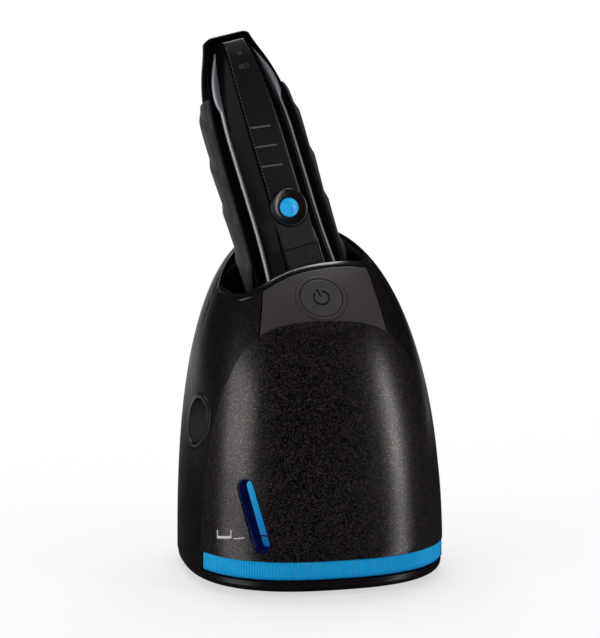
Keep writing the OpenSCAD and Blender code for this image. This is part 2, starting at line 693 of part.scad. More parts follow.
rest_w = shaver_top - shaver_l + 8.5;
module shaver_rest() {
    reach = bowl_half_w - 0.25 - bowl_wall - 0.8;
    low = -bowl_depth + touch;
    high = rest_w - fit;
    color("#2c2c2f") in_bowl() for (side = [-1, 1]) {
        near = cassette_half_w + 1 + side * shaver_u;
        translate([0, 8, 0]) rotate([90, 0, 0]) linear_extrude(16) polygon([for (p =
            [[near, low], [reach - 3.4, low], [reach, low + 3.4], [reach, high],
                [near, high]]) [side * p.x, p.y]]);
    }
}

module drain_spout() {
    color("#1d1c1e") difference() {
        union() {
            translate([drain_at.x, drain_at.y, cartridge_top + fit])
                cylinder(d = drain_d + 3, h = 60, $fn = fine);
            translate([drain_at.x, drain_at.y, deck_z + deck_t]) cylinder(d = drain_d + 9, h = 2, $fn = fine);
        }
        translate([drain_at.x, drain_at.y, cartridge_top]) cylinder(d = drain_d, h = 70, $fn = fine);
        in_bowl() translate([-60, -60, -bowl_depth - floor_t - touch]) cube([120, 120, 100]);
    }
}

module chassis_deck() {
    color("#2e2c2f") difference() {
        union() {
            translate([0, 0, deck_z]) linear_extrude(deck_t)
                polygon(plan_at(deck_z + deck_t, shell_wall + 0.4, 60));
            for (side = [-1, 1]) translate([pump_x, pump_y + side * ear_y, deck_z + deck_t - touch])
                cylinder(d = 7, h = 0.5 + touch, $fn = fine);
        }
        for (side = [-1, 1]) translate([side * post_x, post_y, deck_z - 1])
            cylinder(d = bushing_d + 0.1, h = deck_t + 2, $fn = fine);
        translate([drain_at.x, drain_at.y, deck_z - 1]) cylinder(d = drain_d + 3.3, h = deck_t
            + 2, $fn = fine);
        translate([pump_x, pump_y, deck_z - 1]) cylinder(d = nozzle_d + 0.3, h = deck_t + 2, $fn = fine);
        for (side = [-1, 1]) translate([pump_x, pump_y + side * ear_y, deck_z - 1])
            cylinder(d = 2.6, h = deck_t + 3, $fn = 24);
        translate([-body_w, -lift_y - 8, deck_z - 1]) cube([body_w - latch_x + 7.6, 16, deck_t + 2]);
    }
}
nozzle_d = 9;
ear_y = pump_d / 2 + 4;
ear_t = 3;
ear_z = deck_z + deck_t + 0.5;

module guide_bushings() {
    color("#d9d6cf") for (side = [-1, 1]) translate([side * post_x, post_y, 0]) union() {
        pipe(bushing_d, post_d + 2 * run_gap, deck_z, deck_z + 28);
        pipe(bushing_d + 3, bushing_d - touch, deck_z + deck_t, deck_z + deck_t + 1.5);
    }
}

pump_h = 14;
module pump_housing() {
    color("#c9cbc9") difference() {
        union() {
            translate([pump_x, pump_y, deck_z + deck_t]) cylinder(d = pump_d, h = pump_h, $fn = fine);
            for (side = [-1, 1]) translate([pump_x, pump_y + side * ear_y, ear_z])
                cylinder(d = 8, h = ear_t, $fn = fine);
            translate([pump_x - 4, pump_y - ear_y, ear_z]) cube([8, 2 * ear_y, ear_t]);
            translate([pump_x - pump_d / 2 - 3, wash_at.y, pipe_z]) rotate([0, 90, 0])
                cylinder(d = 7, h = 8, $fn = fine);
        }
        translate([pump_x, pump_y, deck_z + deck_t + 2]) cylinder(d = pump_d - 5, h = pump_h - 4, $fn = fine);
        translate([pump_x, pump_y, deck_z + deck_t - 1]) cylinder(d = nozzle_d - 3, h = 6, $fn = fine);
        translate([pump_x, pump_y, deck_z + deck_t + pump_h - 4])
            cylinder(d = shaft_d + 0.1, h = 6, $fn = fine);
        for (side = [-1, 1]) translate([pump_x, pump_y + side * ear_y, ear_z - 1])
            cylinder(d = 3.2, h = 6, $fn = 24);
        translate([pump_x - pump_d / 2 - 4, wash_at.y, pipe_z]) rotate([0, 90, 0])
            cylinder(d = 4, h = 10, $fn = 24);
    }
}
pipe_z = deck_z + deck_t + 7;
motor_z = deck_z + deck_t + pump_h;
motor_h = 24;

module pump_motor() {
    color("#aeb3b8") difference() {
        union() {
            translate([pump_x, pump_y, motor_z]) cylinder(d = motor_d, h = motor_h, $fn = fine);
            translate([pump_x, pump_y, motor_z + motor_h - touch]) cylinder(d = 9, h = 2, $fn = fine);
        }
        translate([pump_x, pump_y, motor_z - 1]) cylinder(d = shaft_d + 0.1, h = motor_h + 5, $fn = fine);
    }
}

module pump_rotor() {
    hub_z = deck_z + deck_t + 3;
    color("#e4e6e8") translate([pump_x, pump_y, 0]) union() {
        translate([0, 0, hub_z]) cylinder(d = shaft_d, h = motor_z + motor_h + 3 - hub_z, $fn = fine);
        translate([0, 0, hub_z]) cylinder(d = 8, h = pump_h - 6, $fn = fine);
        for (a = [0:60:300]) rotate(a) translate([3, -0.6, hub_z]) cube([pump_d / 2 - 6.5, 1.2, pump_h - 6]);
    }
}

module intake_nozzle() {
    color("#3a3a3d") translate([pump_x, pump_y, 0]) pipe(nozzle_d, nozzle_d - 3, cartridge_top
        + fit, deck_z + deck_t);
}

bend_r = 7;
module wash_pipe() {
    start_x = pump_x - pump_d / 2 - 3.1;
    color("#c8ccd0") difference() {
        union() {
            translate([wash_at.x + bend_r, wash_at.y, pipe_z]) rotate([0, 90, 0])
                cylinder(d = 6, h = start_x - wash_at.x - bend_r, $fn = 32);
            translate([wash_at.x + bend_r, wash_at.y, pipe_z + bend_r]) rotate([90, 0, 0]) rotate([0, 0, 180])
                rotate_extrude(angle = 90, $fn = fine) translate([bend_r, 0]) circle(d = 6, $fn = 32);
            translate([wash_at.x, wash_at.y, pipe_z + bend_r]) cylinder(d = 6, h = 60, $fn = 32);
        }
        in_bowl() translate([-60, -60, -bowl_depth - floor_t - touch]) cube([120, 120, 100]);
    }
}

board_y = 56;
module main_board() {
    color("#1d5b3a") union() {
        translate([-28, board_y, deck_z + deck_t]) cube([56, 1.6, 36]);
        translate([-22, board_y - 12, deck_z + deck_t + 4]) cube([18, 12 + touch, 15]);
        translate([8, board_y, deck_z + deck_t + 14]) rotate([90, 0, 0]) cylinder(d = 10, h = 15, $fn = fine);
        translate([-6, board_y - 5, deck_z + deck_t + 22]) cube([16, 5 + touch, 8]);
        for (side = [-1, 1]) translate([side * 24 - 3, board_y - 3, deck_z + deck_t]) cube([6, 3 + touch, 5]);
    }
}

module deck_screws() {
    color("#8d9094") for (side = [-1, 1]) translate([pump_x, pump_y + side * ear_y, 0]) difference() {
        union() {
            translate([0, 0, ear_z + ear_t + touch]) cylinder(d = 5.5, h = 2, $fn = fine);
            translate([0, 0, deck_z]) cylinder(d = 2.5, h = ear_z + ear_t + 1 - deck_z, $fn = 24);
        }
        for (a = [0, 90]) rotate(a) translate([-1.7, -0.3, ear_z + ear_t + 1.2]) cube([3.4, 0.6, 2]);
    }
}

inlet_y = mid_y(inlet_z) + back_depth * crown_share(inlet_z) - 0.6;
module inlet_socket() {
    color("#161517") difference() {
        union() {
            translate([0, inlet_y, inlet_z]) rotate([90, 0, 0]) pill(inlet_w - 0.4, inlet_h - 0.4, 1.5, 14);
            translate([0, inlet_y - shell_wall - 0.9, inlet_z]) rotate([90, 0, 0])
                pill(inlet_w + 6, inlet_h + 6, 2, 2);
        }
        translate([0, inlet_y + 1, inlet_z]) rotate([90, 0, 0]) pill(inlet_w - 5, inlet_h - 5, 4.4, 11);
        for (side = [-1, 1]) translate([side * pin_x, inlet_y - 20, inlet_z]) rotate([-90, 0, 0])
            cylinder(d = pin_d + 0.06, h = 12, $fn = 32);
    }
}
pin_x = 3.4;
pin_d = 2.2;
module pill(w, h, r, deep) {
    linear_extrude(deep) union() {
        square([w - 2 * r, h], center = true);
        square([w, h - 2 * r], center = true);
        for (x = [-1, 1], y = [-1, 1]) translate([x * (w / 2 - r), y * (h / 2 - r)]) circle(r, $fn = 32);
    }
}
module inlet_pins() {
    color("#c9b37a") for (side = [-1, 1]) translate([side * pin_x, inlet_y - 13.8, inlet_z])
        rotate([-90, 0, 0])
        union() {
            cylinder(d = pin_d, h = 10.8, $fn = 32);
            translate([0, 0, -4]) cylinder(d = 1.6, h = 5, $fn = 24);
        }
}

contact_v = bowl_half_d - 0.25 - bowl_wall;
module contact_block() {
    color("#2a2a2d") in_bowl() difference() {
        translate([shaver_u - 7, contact_v - 2, contact_w - 6]) cube([14, 1.85, 12]);
        for (side = [-1, 1]) translate([shaver_u + side * 3.5, contact_v, contact_w]) rotate([90, 0, 0])
            cylinder(d = 2.06, h = 5, center = true, $fn = fine);
    }
}
contact_w = 2;
module contact_pins() {
    color("#d7bd72") in_bowl() for (side = [-1, 1])
        translate([shaver_u + side * 3.5, contact_v - 1, contact_w]) rotate([90, 0, 0])
            cylinder(d = 2, h = contact_v - 1 - handle_half_t - fit, $fn = fine);
}

module start_switch() {
    board_z = -stem_end - start_press - fit - 0.5;
    color("#1d5b3a") along_start() union() {
        translate([-13, -7.5, board_z - 1.2]) cube([26, 10, 1.2]);
        translate([-3, -3, board_z - touch]) cube([6, 5.5, 0.5]);
        for (side = [-1, 1]) translate([side * 12, -1, board_z - touch])
            cylinder(d = 2.4, h = -1.9 - 0.55 - board_z, $fn = 24);
    }
}
module button_bracket() {
    color("#3a3a3d") difference() {
        translate([-arm_x + 0.6 + arm_t + lift_press + fit, -lift_y - 7, deck_z + deck_t])
            cube([3, 14, lift_z + 8 - deck_z - deck_t]);
        translate([-body_w / 2, -lift_y, lift_z]) rotate([0, 90, 0])
            cylinder(d = 7.2, h = body_w / 2, $fn = fine);
    }
}

// ==== shaver, drawn in the bowl's frame: head down, front towards -v ====
shaver_u = 1.5;
cassette_half_w = 24;
core_rows = [[-8, 25.8, 16], [10, 25.6, 16.6], [30, 24.8, 16.6], [60, 24.5, 16.6], [80, 23.8, 16.4],
    [95, 22, 15.6], [107, 19.4, 14.2], [118, 15.6, 12.4], [126, 11.6, 10.6]];
row_w = [for (r = core_rows) [r[0], r[1]]];
row_t = [for (r = core_rows) [r[0], r[2]]];
function eased(table, w) = (lookup(w - 6, table) + 2 * lookup(w, table) + lookup(w + 6, table)) / 4;
function core_w(w) = eased(row_w, w) * handle_half_w / 24.6;
function core_t(w) = eased(row_t, w) * handle_half_t / 16.6;
function front_share(w) = min(1, core_w(w) / core_w(60) * 1.02);
module in_shaver() { in_bowl() translate([shaver_u, 0, 0]) children(); }
function core_point(turn, w, grow) = let(c = cos(turn), s = sin(turn))
    [(core_w(w) + grow) * sign(c) * pow(abs(c), 0.8),
     max(-panel_seam * front_share(w), (core_t(w) + grow) * sign(s) * pow(abs(s), 0.8)), w];
handle_top = shaver_top - 3;
handle_foot = -8;
module shaver_handle() {
    rows = [for (k = [0:20]) handle_foot + (handle_top - handle_foot) * k / 20];
    color("#17171a") in_shaver() difference() {
        body_of_rings([for (w = rows) [for (i = [0:35]) core_point(10 * i + 5, w, 0)]]);
        translate([-6.3, 15, slider_w - trimmer_run - 0.3]) cube([12.6, 5, slider_l + trimmer_run + 0.6]);
        translate([0, -panel_seam - 1, switch_w]) rotate([-90, 0, 0])
            cylinder(d = switch_stem_d + 0.4, h = 5, $fn = fine);
    }
}

panel_low = -7.5;
panel_high = shaver_top - 5;
function panel_ring(w) = let(k = front_share(w), fall = max(0, w - 112) / 14,
        s = strip_half_w * (0.25 + 0.75 * k), f = flank_half_w * k + flare(w),
        front = -strip_front * (0.35 + 0.65 * k) + 3.2 * fall * fall, back = -panel_seam * k - 0.08)
    [[f, back, w], [f, back - 1.5, w], [s + 0.8, front + 0.5, w], [s, front, w], [-s, front, w],
        [-s - 0.8, front + 0.5, w],
     [-f, back - 1.5, w], [-f, back, w]];
function flare(w) = 2.4 * pow(max(0, 34 - w) / 44, 2);
module shaver_front_panel() {
    rows = [for (k = [0:16]) midway(panel_low, panel_high, k / 16)];
    color("#0b0b0d") in_shaver() difference() {
        body_of_rings([for (w = rows) let(r = panel_ring(w)) [for (k = [7:-1:0]) r[k]]]);
        translate([-pad_half_w - 0.15, -strip_front - 3, pad_low - 0.15])
            cube([2 * pad_half_w + 0.3, 4, pad_high - pad_low + 0.3]);
        translate([0, -strip_front - 3, switch_w]) rotate([-90, 0, 0])
            cylinder(d = switch_ring_d + 0.3, h = 5.2, $fn = fine);
        translate([0, -strip_front - 3, switch_w]) rotate([-90, 0, 0])
            cylinder(d = switch_d + 0.6, h = 5 + switch_press + fit, $fn = fine);
        translate([0, -strip_front, switch_w]) rotate([-90, 0, 0])
            cylinder(d = switch_stem_d + 0.16, h = 20, $fn = fine);
    }
}
trim_low = -7;
trim_high = 114;
function trim_ring(w) = let(r = panel_ring(w)[0], x = r.x + 0.1, y = r.y - 0.02,
        t = trim_w * (0.35 + 0.65 * min(1, (trim_high - w) / 30)))
    [[x, y, w], [x, y - 1.9, w], [x + 0.3 * t, y - 1.9, w], [x + t, y - 1.2, w], [x + t, y, w]];
module trim(side) {
    color("#c9ccd1") in_shaver() mirror([side < 0 ? 1 : 0, 0, 0])
        body_of_rings([for (k = [0:18]) trim_ring(midway(trim_low, trim_high, k / 18))]);
}
module trim_left() {
    trim(-1);
}
module trim_right() {
    trim(1);
}

grip_low = -7;
grip_high = 98;
function wave(w, turn) = let(p = w / wave_pitch - turn / 90 + 0.3, s = p - floor(p))
    grip_wave * (s < 0.8 ? s / 0.8 : (1 - s) / 0.2);
function grip_row(w, grow) = [for (i = [0:10]) let(t = midway(-20, 46, i / 10),
    edge = min(1, min(i, 10 - i) / 2),
        end = min(1, min(w - grip_low, grip_high - w) / 5))
    core_point(t, w, grow == 0 ? 0.05 : 0.05 + (0.6 + (grip_t - 0.6 + wave(w, t)) * edge) * (0.4
        + 0.6 * sqrt(max(0, end))))];
module grip(side) {
    rows = [for (k = [0:22]) midway(grip_low, grip_high, k / 22)];
    color("#2b2c31") in_shaver() mirror([side < 0 ? 1 : 0, 0, 0])
        sheet([for (w = rows) grip_row(w, 1)], [for (w = rows) grip_row(w, 0)]);
}
module grip_left() {
    grip(-1);
}
module grip_right() {
    grip(1);
}

pad_half_w = 9;
pad_low = -7;
pad_high = 13;
module thumb_pad() {
    color("#3a3f46") in_shaver() difference() {
        translate([-pad_half_w, -strip_front - 0.3, pad_low]) cube([2 * pad_half_w, 1.2, pad_high - pad_low]);
        for (k = [0:6]) translate([-pad_half_w - 1, -strip_front - 0.6, pad_low + 1.8 + 3 * k])
            cube([2 * pad_half_w + 2, 0.5, 0.7]);
    }
}
module switch_ring() {
    color("#1a1a1d") in_shaver() translate([0, -strip_front + 2.1, switch_w]) rotate([90, 0, 0])
        rotate_extrude($fn = fine) polygon([[switch_d / 2 + fit, 0], [switch_ring_d / 2, 0],
            [switch_ring_d / 2, 3.1],
            [switch_ring_d / 2 - 0.6, 3.5], [switch_d / 2 + 1.2, 2.6], [switch_d / 2 + fit, 2.6]]);
}
switch_stem_d = 5;
module switch_button() {
    ball_r = 9;
    color("#12a3e6") in_shaver() translate([0, -strip_front + 2, switch_w]) rotate([90, 0, 0]) union() {
        intersection() {
            translate([0, 0, 4.6 - ball_r]) sphere(ball_r, $fn = fine);
            cylinder(d = switch_d, h = 6, $fn = fine);
        }
        translate([0, 0, -6]) cylinder(d = switch_stem_d, h = 6.5, $fn = fine);
    }
}
module end_cap() {
    color("#0e0e10") in_shaver() difference() {
        body_of_rings([for (k = [0:3]) let(w = handle_top + 0.05
            + [0, 1.2, 2.3, shaver_top - handle_top - 0.05][k], s = [1, 0.97, 0.88, 0.72][k])
            [for (i = [0:35]) let(p = core_point(10 * i + 5, handle_top, 0)) [p.x * s, p.y * s, w]]]);
        translate([0, 1.5, shaver_top - 2.4]) pill(8.4, 5, 2.4, 6);
    }
}
module shaver_pins() {
    color("#c9b37a") in_shaver() for (side = [-1, 1]) translate([side * 1.9, 1.5, shaver_top - 2.4])
        cylinder(d = 1.2, h = 2, $fn = 24);
}
neck_half = [10, 6];
module head_frame() {
    rows = [[rest_w, 0.93], [rest_w + 1.5, 1], [rest_w + 5, 1], [handle_foot - 0.1, 0.96]];
    color("#8e9196") in_shaver() difference() {
        body_of_rings([for (r = rows) head_ring(cassette_half_w + 3.4, 15.8, r[1], r[0])]);
        translate([-14.4, 14.3, rest_w - 1]) cube([28.8, 5, trimmer_l + 3]);
        translate([-neck_half[0], -neck_half[1], rest_w - 1]) cube([2 * neck_half[0], 2 * neck_half[1], 7]);
    }
}
function head_ring(half_u, half_v, share, w) = [for (i = [0:35]) let(t = 10 * i + 5)
    [half_u * share * sign(cos(t)) * pow(abs(cos(t)), 0.7),
        half_v * share * sign(sin(t)) * pow(abs(sin(t)), 0.7), w]];

float_run = 1.5;
foil_foot = shaver_top - shaver_l;
module foil_cassette() {
    top = rest_w - float_run - fit;
    rows = [[foil_foot + 1.6, 0.96], [foil_foot + 2.4, 1], [top - 0.8, 1], [top, 0.97]];
    color("#1c1c1f") in_shaver() difference() {
        union() {
            body_of_rings([for (r = rows) head_ring(cassette_half_w, 11.6, r[1], r[0])]);
            translate([-neck_half[0] + fit, -neck_half[1] + fit, top - touch])
                cube([2 * (neck_half[0] - fit), 2 * (neck_half[1] - fit), 4]);
        }
        for (side = [-1, 1]) translate([-foil_l / 2 - 0.1, side * foil_v, foil_foot + foil_r])
            rotate([0, 90, 0])
            cylinder(r = foil_r + 0.1, h = foil_l + 0.2, $fn = fine);
        translate([-foil_l / 2 - 0.1, -0.9, foil_foot]) cube([foil_l + 0.2, 1.8, foil_r]);
        translate([-foil_l / 2 - 0.1, -foil_v, foil_foot + foil_r - 0.6])
            cube([foil_l + 0.2, 2 * foil_v, 1.2]);
    }
}
foil_l = 40;
foil_r = 3;
foil_v = 5.2;
module shaver_foils() {
    color("#c3c7cb") in_shaver() union() {
        for (side = [-1, 1]) translate([-foil_l / 2, side * foil_v, foil_foot + foil_r]) rotate([0, 90, 0])
            cylinder(r = foil_r, h = foil_l, $fn = fine);
        translate([-foil_l / 2, -0.8, foil_foot + 0.5]) cube([foil_l, 1.6, foil_r - 0.5]);
        translate([-foil_l / 2, -foil_v, foil_foot + foil_r - 0.5]) cube([foil_l, 2 * foil_v, 1]);
    }
}
trimmer_l = 13;
trimmer_run = 9;
module trimmer_blade() {
    color("#b9bdc2") in_shaver() union() {
        translate([-14, 14.5, rest_w + 1.5 + 2]) cube([28, 1.1, trimmer_l - 2]);
        for (k = [0:13]) translate([-14 + 2.06 * k, 14.5, rest_w + 1.5]) cube([1.2, 1.1, 2 + touch]);
    }
}
slider_w = 44;
slider_l = 14;
module trimmer_slider() {
    color("#3b3b40") in_shaver() difference() {
        translate([-6, 15.2, slider_w]) cube([12, 2.6, slider_l]);
        for (k = [0:3]) translate([-7, 17.3, slider_w + 2.4 + 2.6 * k]) cube([14, 1, 1.2]);
    }
}

base_tray();
base_cover();
rubber_feet();
base_screws();
guide_posts();
lift_springs();
latch_post();
cartridge_tank();
cartridge_strip();
cartridge_lid();
cartridge_filter();
housing_shell();
front_panel();
control_panel();
level_window();
lift_button_ring();
start_button_ring();
cleaning_bowl();
shaver_rest();
drain_spout();
chassis_deck();
guide_bushings();
pump_housing();
pump_motor();
intake_nozzle();
wash_pipe();
main_board();
deck_screws();
inlet_socket();
inlet_pins();
contact_block();
start_switch();
button_bracket();
start_button();
lift_button();
contact_pins();
pump_rotor();
shaver_handle();
shaver_front_panel();
trim_left();
trim_right();
grip_left();
grip_right();
thumb_pad();
switch_ring();
switch_button();
end_cap();
shaver_pins();
head_frame();
foil_cassette();
shaver_foils();
trimmer_blade();
trimmer_slider();
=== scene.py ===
# A cleaning station for an electric shaver, with the shaver docked head down in its bowl.
# Metres, +Z up. The front with the start button faces -Y, and the origin is on the table.
import math
import bpy
from mathutils import Matrix, Vector


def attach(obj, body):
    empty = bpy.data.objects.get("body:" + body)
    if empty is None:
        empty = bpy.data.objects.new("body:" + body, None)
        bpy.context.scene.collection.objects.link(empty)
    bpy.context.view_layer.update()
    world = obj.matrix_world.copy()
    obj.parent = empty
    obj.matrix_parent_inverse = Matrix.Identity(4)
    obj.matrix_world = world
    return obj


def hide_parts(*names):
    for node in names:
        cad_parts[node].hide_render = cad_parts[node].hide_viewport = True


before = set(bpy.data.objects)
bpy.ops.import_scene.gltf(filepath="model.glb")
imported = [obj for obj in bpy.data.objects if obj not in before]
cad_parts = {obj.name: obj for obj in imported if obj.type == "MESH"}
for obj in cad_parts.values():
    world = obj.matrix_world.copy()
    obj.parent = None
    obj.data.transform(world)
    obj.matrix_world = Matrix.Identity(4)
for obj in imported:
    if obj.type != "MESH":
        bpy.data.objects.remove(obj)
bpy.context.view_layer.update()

mm = 0.001


# ---- Table and backdrop
# White card, lit softly. It stays white to the camera and, far behind, in reflections, and darkens
# only in the shadow near the station. In front, gloss sees it as a polished top with the lamps in it.
class Wire:
    """A value, colour or vector in a material. Sums and products of wires add Math nodes."""

    def __init__(self, tree, socket=None):
        self.tree, self.socket = tree, socket

    def node(self, kind, settings={}, inputs={}, outlet=0):
        made = self.tree.nodes.new(kind)
        for name, value in settings.items():
            setattr(made, name, value)
        for name, value in inputs.items():
            if isinstance(value, Wire):
                self.tree.links.new(value.socket, made.inputs[name])
            else:
                made.inputs[name].default_value = value
        return Wire(self.tree, made.outputs[outlet] if made.outputs else None)

    def maths(self, operation, *values):
        return self.node("ShaderNodeMath", {"operation": operation}, dict(enumerate(values)))

    def __add__(self, other):
        return self.maths("ADD", self, other)

    __radd__ = __add__

    def __sub__(self, other):
        return self.maths("SUBTRACT", self, other)

    def __rsub__(self, other):
        return self.maths("SUBTRACT", other, self)

    def __mul__(self, other):
        return self.maths("MULTIPLY", self, other)

    __rmul__ = __mul__

    def __pow__(self, other):
        return self.maths("POWER", self, other)

    def __lt__(self, other):
        return self.maths("LESS_THAN", self, other)

    def __abs__(self):
        return self.maths("ABSOLUTE", self)

    def between(self, low, high):
        """0 below low, 1 above high and a straight slope between."""
        return self.node("ShaderNodeMapRange", {"clamp": True}, {0: self, 1: low, 2: high, 3: 0.0, 4: 1.0})

    def blend(self, first, second):
        """The first colour where this value is 0, and the second where it is 1."""
        return self.node("ShaderNodeMix", {"data_type": "RGBA"}, {0: self, 6: first, 7: second}, 2)

    def xyz(self):
        return [self.node("ShaderNodeSeparateXYZ", {}, {0: self}, axis) for axis in range(3)]


def finish(name, draw):
    """A material whose shader sockets draw() gives by name, as plain values or wires."""
    made = bpy.data.materials.new(name)
    made.use_nodes = True
    shader = made.node_tree.nodes["Principled BSDF"]
    for socket, value in draw(Wire(made.node_tree)).items():
        if isinstance(value, Wire):
            made.node_tree.links.new(value.socket, shader.inputs[socket])
        else:
            shader.inputs[socket].default_value = value
    return made


def rgb(red, green, blue):
    """A colour as a paint maker writes it, 0 to 255, for a shader."""
    shares = [c / 255 for c in (red, green, blue)]
    return tuple(c / 12.92 if c < 0.0404 else ((c + 0.055) / 1.055) ** 2.4 for c in shares) + (1.0,)


def link(piece):
    bpy.context.scene.collection.objects.link(piece)
    return piece


def ray_kinds(w):
    """1 for rays straight from the camera, and 1 for rays that come off gloss or through glass."""
    straight, gloss, glass = [w.node("ShaderNodeLightPath", outlet=name)
                              for name in ("Is Camera Ray", "Is Glossy Ray", "Is Transmission Ray")]
    return straight, gloss.maths("MAXIMUM", gloss, glass)


table_r, round_steps = 3.0, 64
rings = [0.02, 0.1, 0.2, 0.4, 0.8, 1.6, table_r]
turns = [math.tau * i / round_steps for i in range(round_steps)]
points = [(0, 0, 0)] + [(r * math.cos(turn), r * math.sin(turn), 0) for r in rings for turn in turns]
faces = [(0, 1 + i, 1 + (i + 1) % round_steps) for i in range(round_steps)]
for k in range(len(rings) - 1):
    near, next_ring = 1 + k * round_steps, 1 + (k + 1) * round_steps
    for i in range(round_steps):
        j = (i + 1) % round_steps
        faces.append((near + i, next_ring + i, next_ring + j, near + j))
card = bpy.data.meshes.new("table")
card.from_pydata(points, [], faces)
table = link(bpy.data.objects.new("table", card))
paper = bpy.data.materials.new("white_card")
paper.use_nodes = True
paper.node_tree.nodes.clear()
w = Wire(paper.node_tree)
straight, mirrored = ray_kinds(w)
across, deep, _ = w.node("ShaderNodeTexCoord", outlet="Object").xyz()
behind = deep.between(0.5, 1.2)
seen = straight.maths("MAXIMUM", straight, mirrored * behind)
far = (across * across + deep * deep) ** 0.5
lit = w.node("ShaderNodeBsdfDiffuse", {}, {"Color": rgb(236, 236, 236)})
white = w.node("ShaderNodeEmission", {}, {"Color": (1, 1, 1, 1), "Strength": 1.0})
share = seen * (far.between(0.12, 0.5) * 0.4 + 0.6)
card_shader = w.node("ShaderNodeMixShader", {}, {0: share, 1: lit, 2: white})
polished = w.node("ShaderNodeBsdfGlossy", {}, {"Color": rgb(214, 214, 214), "Roughness": 0.12})
card_shader = w.node("ShaderNodeMixShader", {}, {0: mirrored * (1 - behind), 1: card_shader, 2: polished})
w.node("ShaderNodeOutputMaterial", {}, {"Surface": card_shader})
card.materials.append(paper)

# The room is almost black where the plastic mirrors its front, and white behind and to the camera.
room = bpy.data.worlds.new("room")
bpy.context.scene.world = room
room.use_nodes = True
room.node_tree.nodes.clear()
w = Wire(room.node_tree)
straight, mirrored = ray_kinds(w)
_, back, _ = w.node("ShaderNodeTexCoord", outlet="Generated").xyz()
seen = straight.maths("MAXIMUM", straight, mirrored * back.between(0.965, 1.0))
shade = mirrored.blend((0.4, 0.4, 0.405, 1.0), (0.007, 0.007, 0.009, 1.0))
shade = seen.blend(shade, (1.0, 1.0, 1.0, 1.0))
air = w.node("ShaderNodeBackground", {}, {"Color": shade, "Strength": 1.0})
w.node("ShaderNodeOutputWorld", {}, {"Surface": air})


# ---- Camera and lamps
# The photograph's own view, from a metre in front and a little to the left. A soft box stands on
# the left, a narrow one on the right, and a wide one hangs above.
def looking(piece, place, aim):
    piece.location = place
    piece.rotation_mode = "QUATERNION"
    piece.rotation_quaternion = (Vector(aim) - Vector(place)).to_track_quat("-Z", "Y")
    return link(piece)


lens = bpy.data.cameras.new("camera")
lens.sensor_width = 36.0
lens.lens = 109.1
lens.clip_start, lens.clip_end = 0.05, 30.0
camera_at, camera_aim = (-0.22997, -0.95789, 0.26193), (-0.0028, 0.00662, 0.12737)
bpy.context.scene.camera = looking(bpy.data.objects.new("camera", lens), camera_at, camera_aim)
bpy.context.scene.view_settings.view_transform = "Standard"

for name, place, wide, high, watts in (
        ("left_box", (-1.22, -0.42, 0.42), 0.85, 0.75, 6.0),
        ("right_box", (1.06, -0.77, 0.42), 0.22, 0.8, 4.5),
        ("top_box", (0.05, 0.45, 1.25), 0.9, 0.6, 12.0)):
    lamp = bpy.data.lights.new(name, "AREA")
    lamp.shape, lamp.size, lamp.size_y, lamp.energy = "RECTANGLE", wide, high, watts
    looking(bpy.data.objects.new(name, lamp), place, (0.0, 0.0, 0.1))


# ---- Base
# A black-brown tray moulded in one piece, with a rounded lower edge. A cover plate closes it from
# below, and it stands on four soft feet and carries the bosses of the two guide posts.
class Mould:
    """The points and faces of one piece, gathered patch by patch and then made into an object."""

    def __init__(self):
        self.points, self.faces, self.slots = [], [], []

    def patch(self, rows, closed=False, slot=0):
        """Faces between neighbouring rows of points; closed joins the end of each row to its start."""
        start, n = len(self.points), len(rows[0])
        self.points += [tuple(p) for row in rows for p in row]
        for k in range(len(rows) - 1):
            for i in range(n if closed else n - 1):
                j = (i + 1) % n
                a, b = start + k * n, start + (k + 1) * n
                self.faces.append((a + i, a + j, b + j, b + i))
                self.slots.append(slot)

    def lid(self, row, slot=0, turned=False):
        """A flat face that closes a ring."""
        start = len(self.points)
        self.points += [tuple(p) for p in row]
        face = tuple(range(start, start + len(row)))
        self.faces.append(face[::-1] if turned else face)
        self.slots.append(slot)

    def body(self, rings, slot=0):
        """A closed body through rings that run anticlockwise as seen from its last ring."""
        self.patch(rings, True, slot)
        self.lid(rings[0], slot, True)
        self.lid(rings[-1], slot)

    def slab(self, outer, inner, slot=0):
        """A wall between two grids of points with the same rows."""
        self.patch([row + inner[k][::-1] for k, row in enumerate(outer)], True, slot)
        self.patch([inner[0], outer[0]], False, slot)
        self.patch([outer[-1], inner[-1]], False, slot)

    def piece(self, name, *materials, bevel=0.0, cutters=(), corner=35):
        shape = bpy.data.meshes.new(name)
        shape.from_pydata(self.points, [], self.faces)
        shape.polygons.foreach_set("material_index", self.slots)
        for material in materials:
            shape.materials.append(material)
        made = link(bpy.data.objects.new(name, shape))
        weld = made.modifiers.new("weld", "WELD")
        weld.merge_threshold = 0.002 * mm
        if bevel:
            soften = made.modifiers.new("soften", "BEVEL")
            soften.width, soften.segments, soften.limit_method = bevel, 2, "ANGLE"
            soften.angle_limit = math.radians(40)
        for cutter in cutters:
            cut = made.modifiers.new("cut", "BOOLEAN")
            cut.operation, cut.solver, cut.object = "DIFFERENCE", "EXACT", cutter
            cut.material_mode = "TRANSFER" if len(materials) > 1 else "INDEX"
        settled = bpy.data.meshes.new_from_object(made.evaluated_get(bpy.context.evaluated_depsgraph_get()))
        made.modifiers.clear()
        made.data = settled
        settled.shade_smooth()
        settled.set_sharp_from_angle(angle=math.radians(corner))
        for cutter in cutters:
            bpy.data.objects.remove(cutter)
        return made


def block(mould, low, high):
    """A plain brick-shaped arm or rib that is part of a larger moulding."""
    (x0, y0, z0), (x1, y1, z1) = low, high
    mould.body([[Vector((x, y, z)) for x, y in ((x0, y0), (x1, y0), (x1, y1), (x0, y1))] for z in (z0, z1)])


def join(piece, body, *nodes, slot):
    """The piece takes the place of its CAD nodes and moves with their body."""
    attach(piece, body)
    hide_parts(*nodes)
    return piece


def midway(low, high, part):
    return low + (high - low) * part


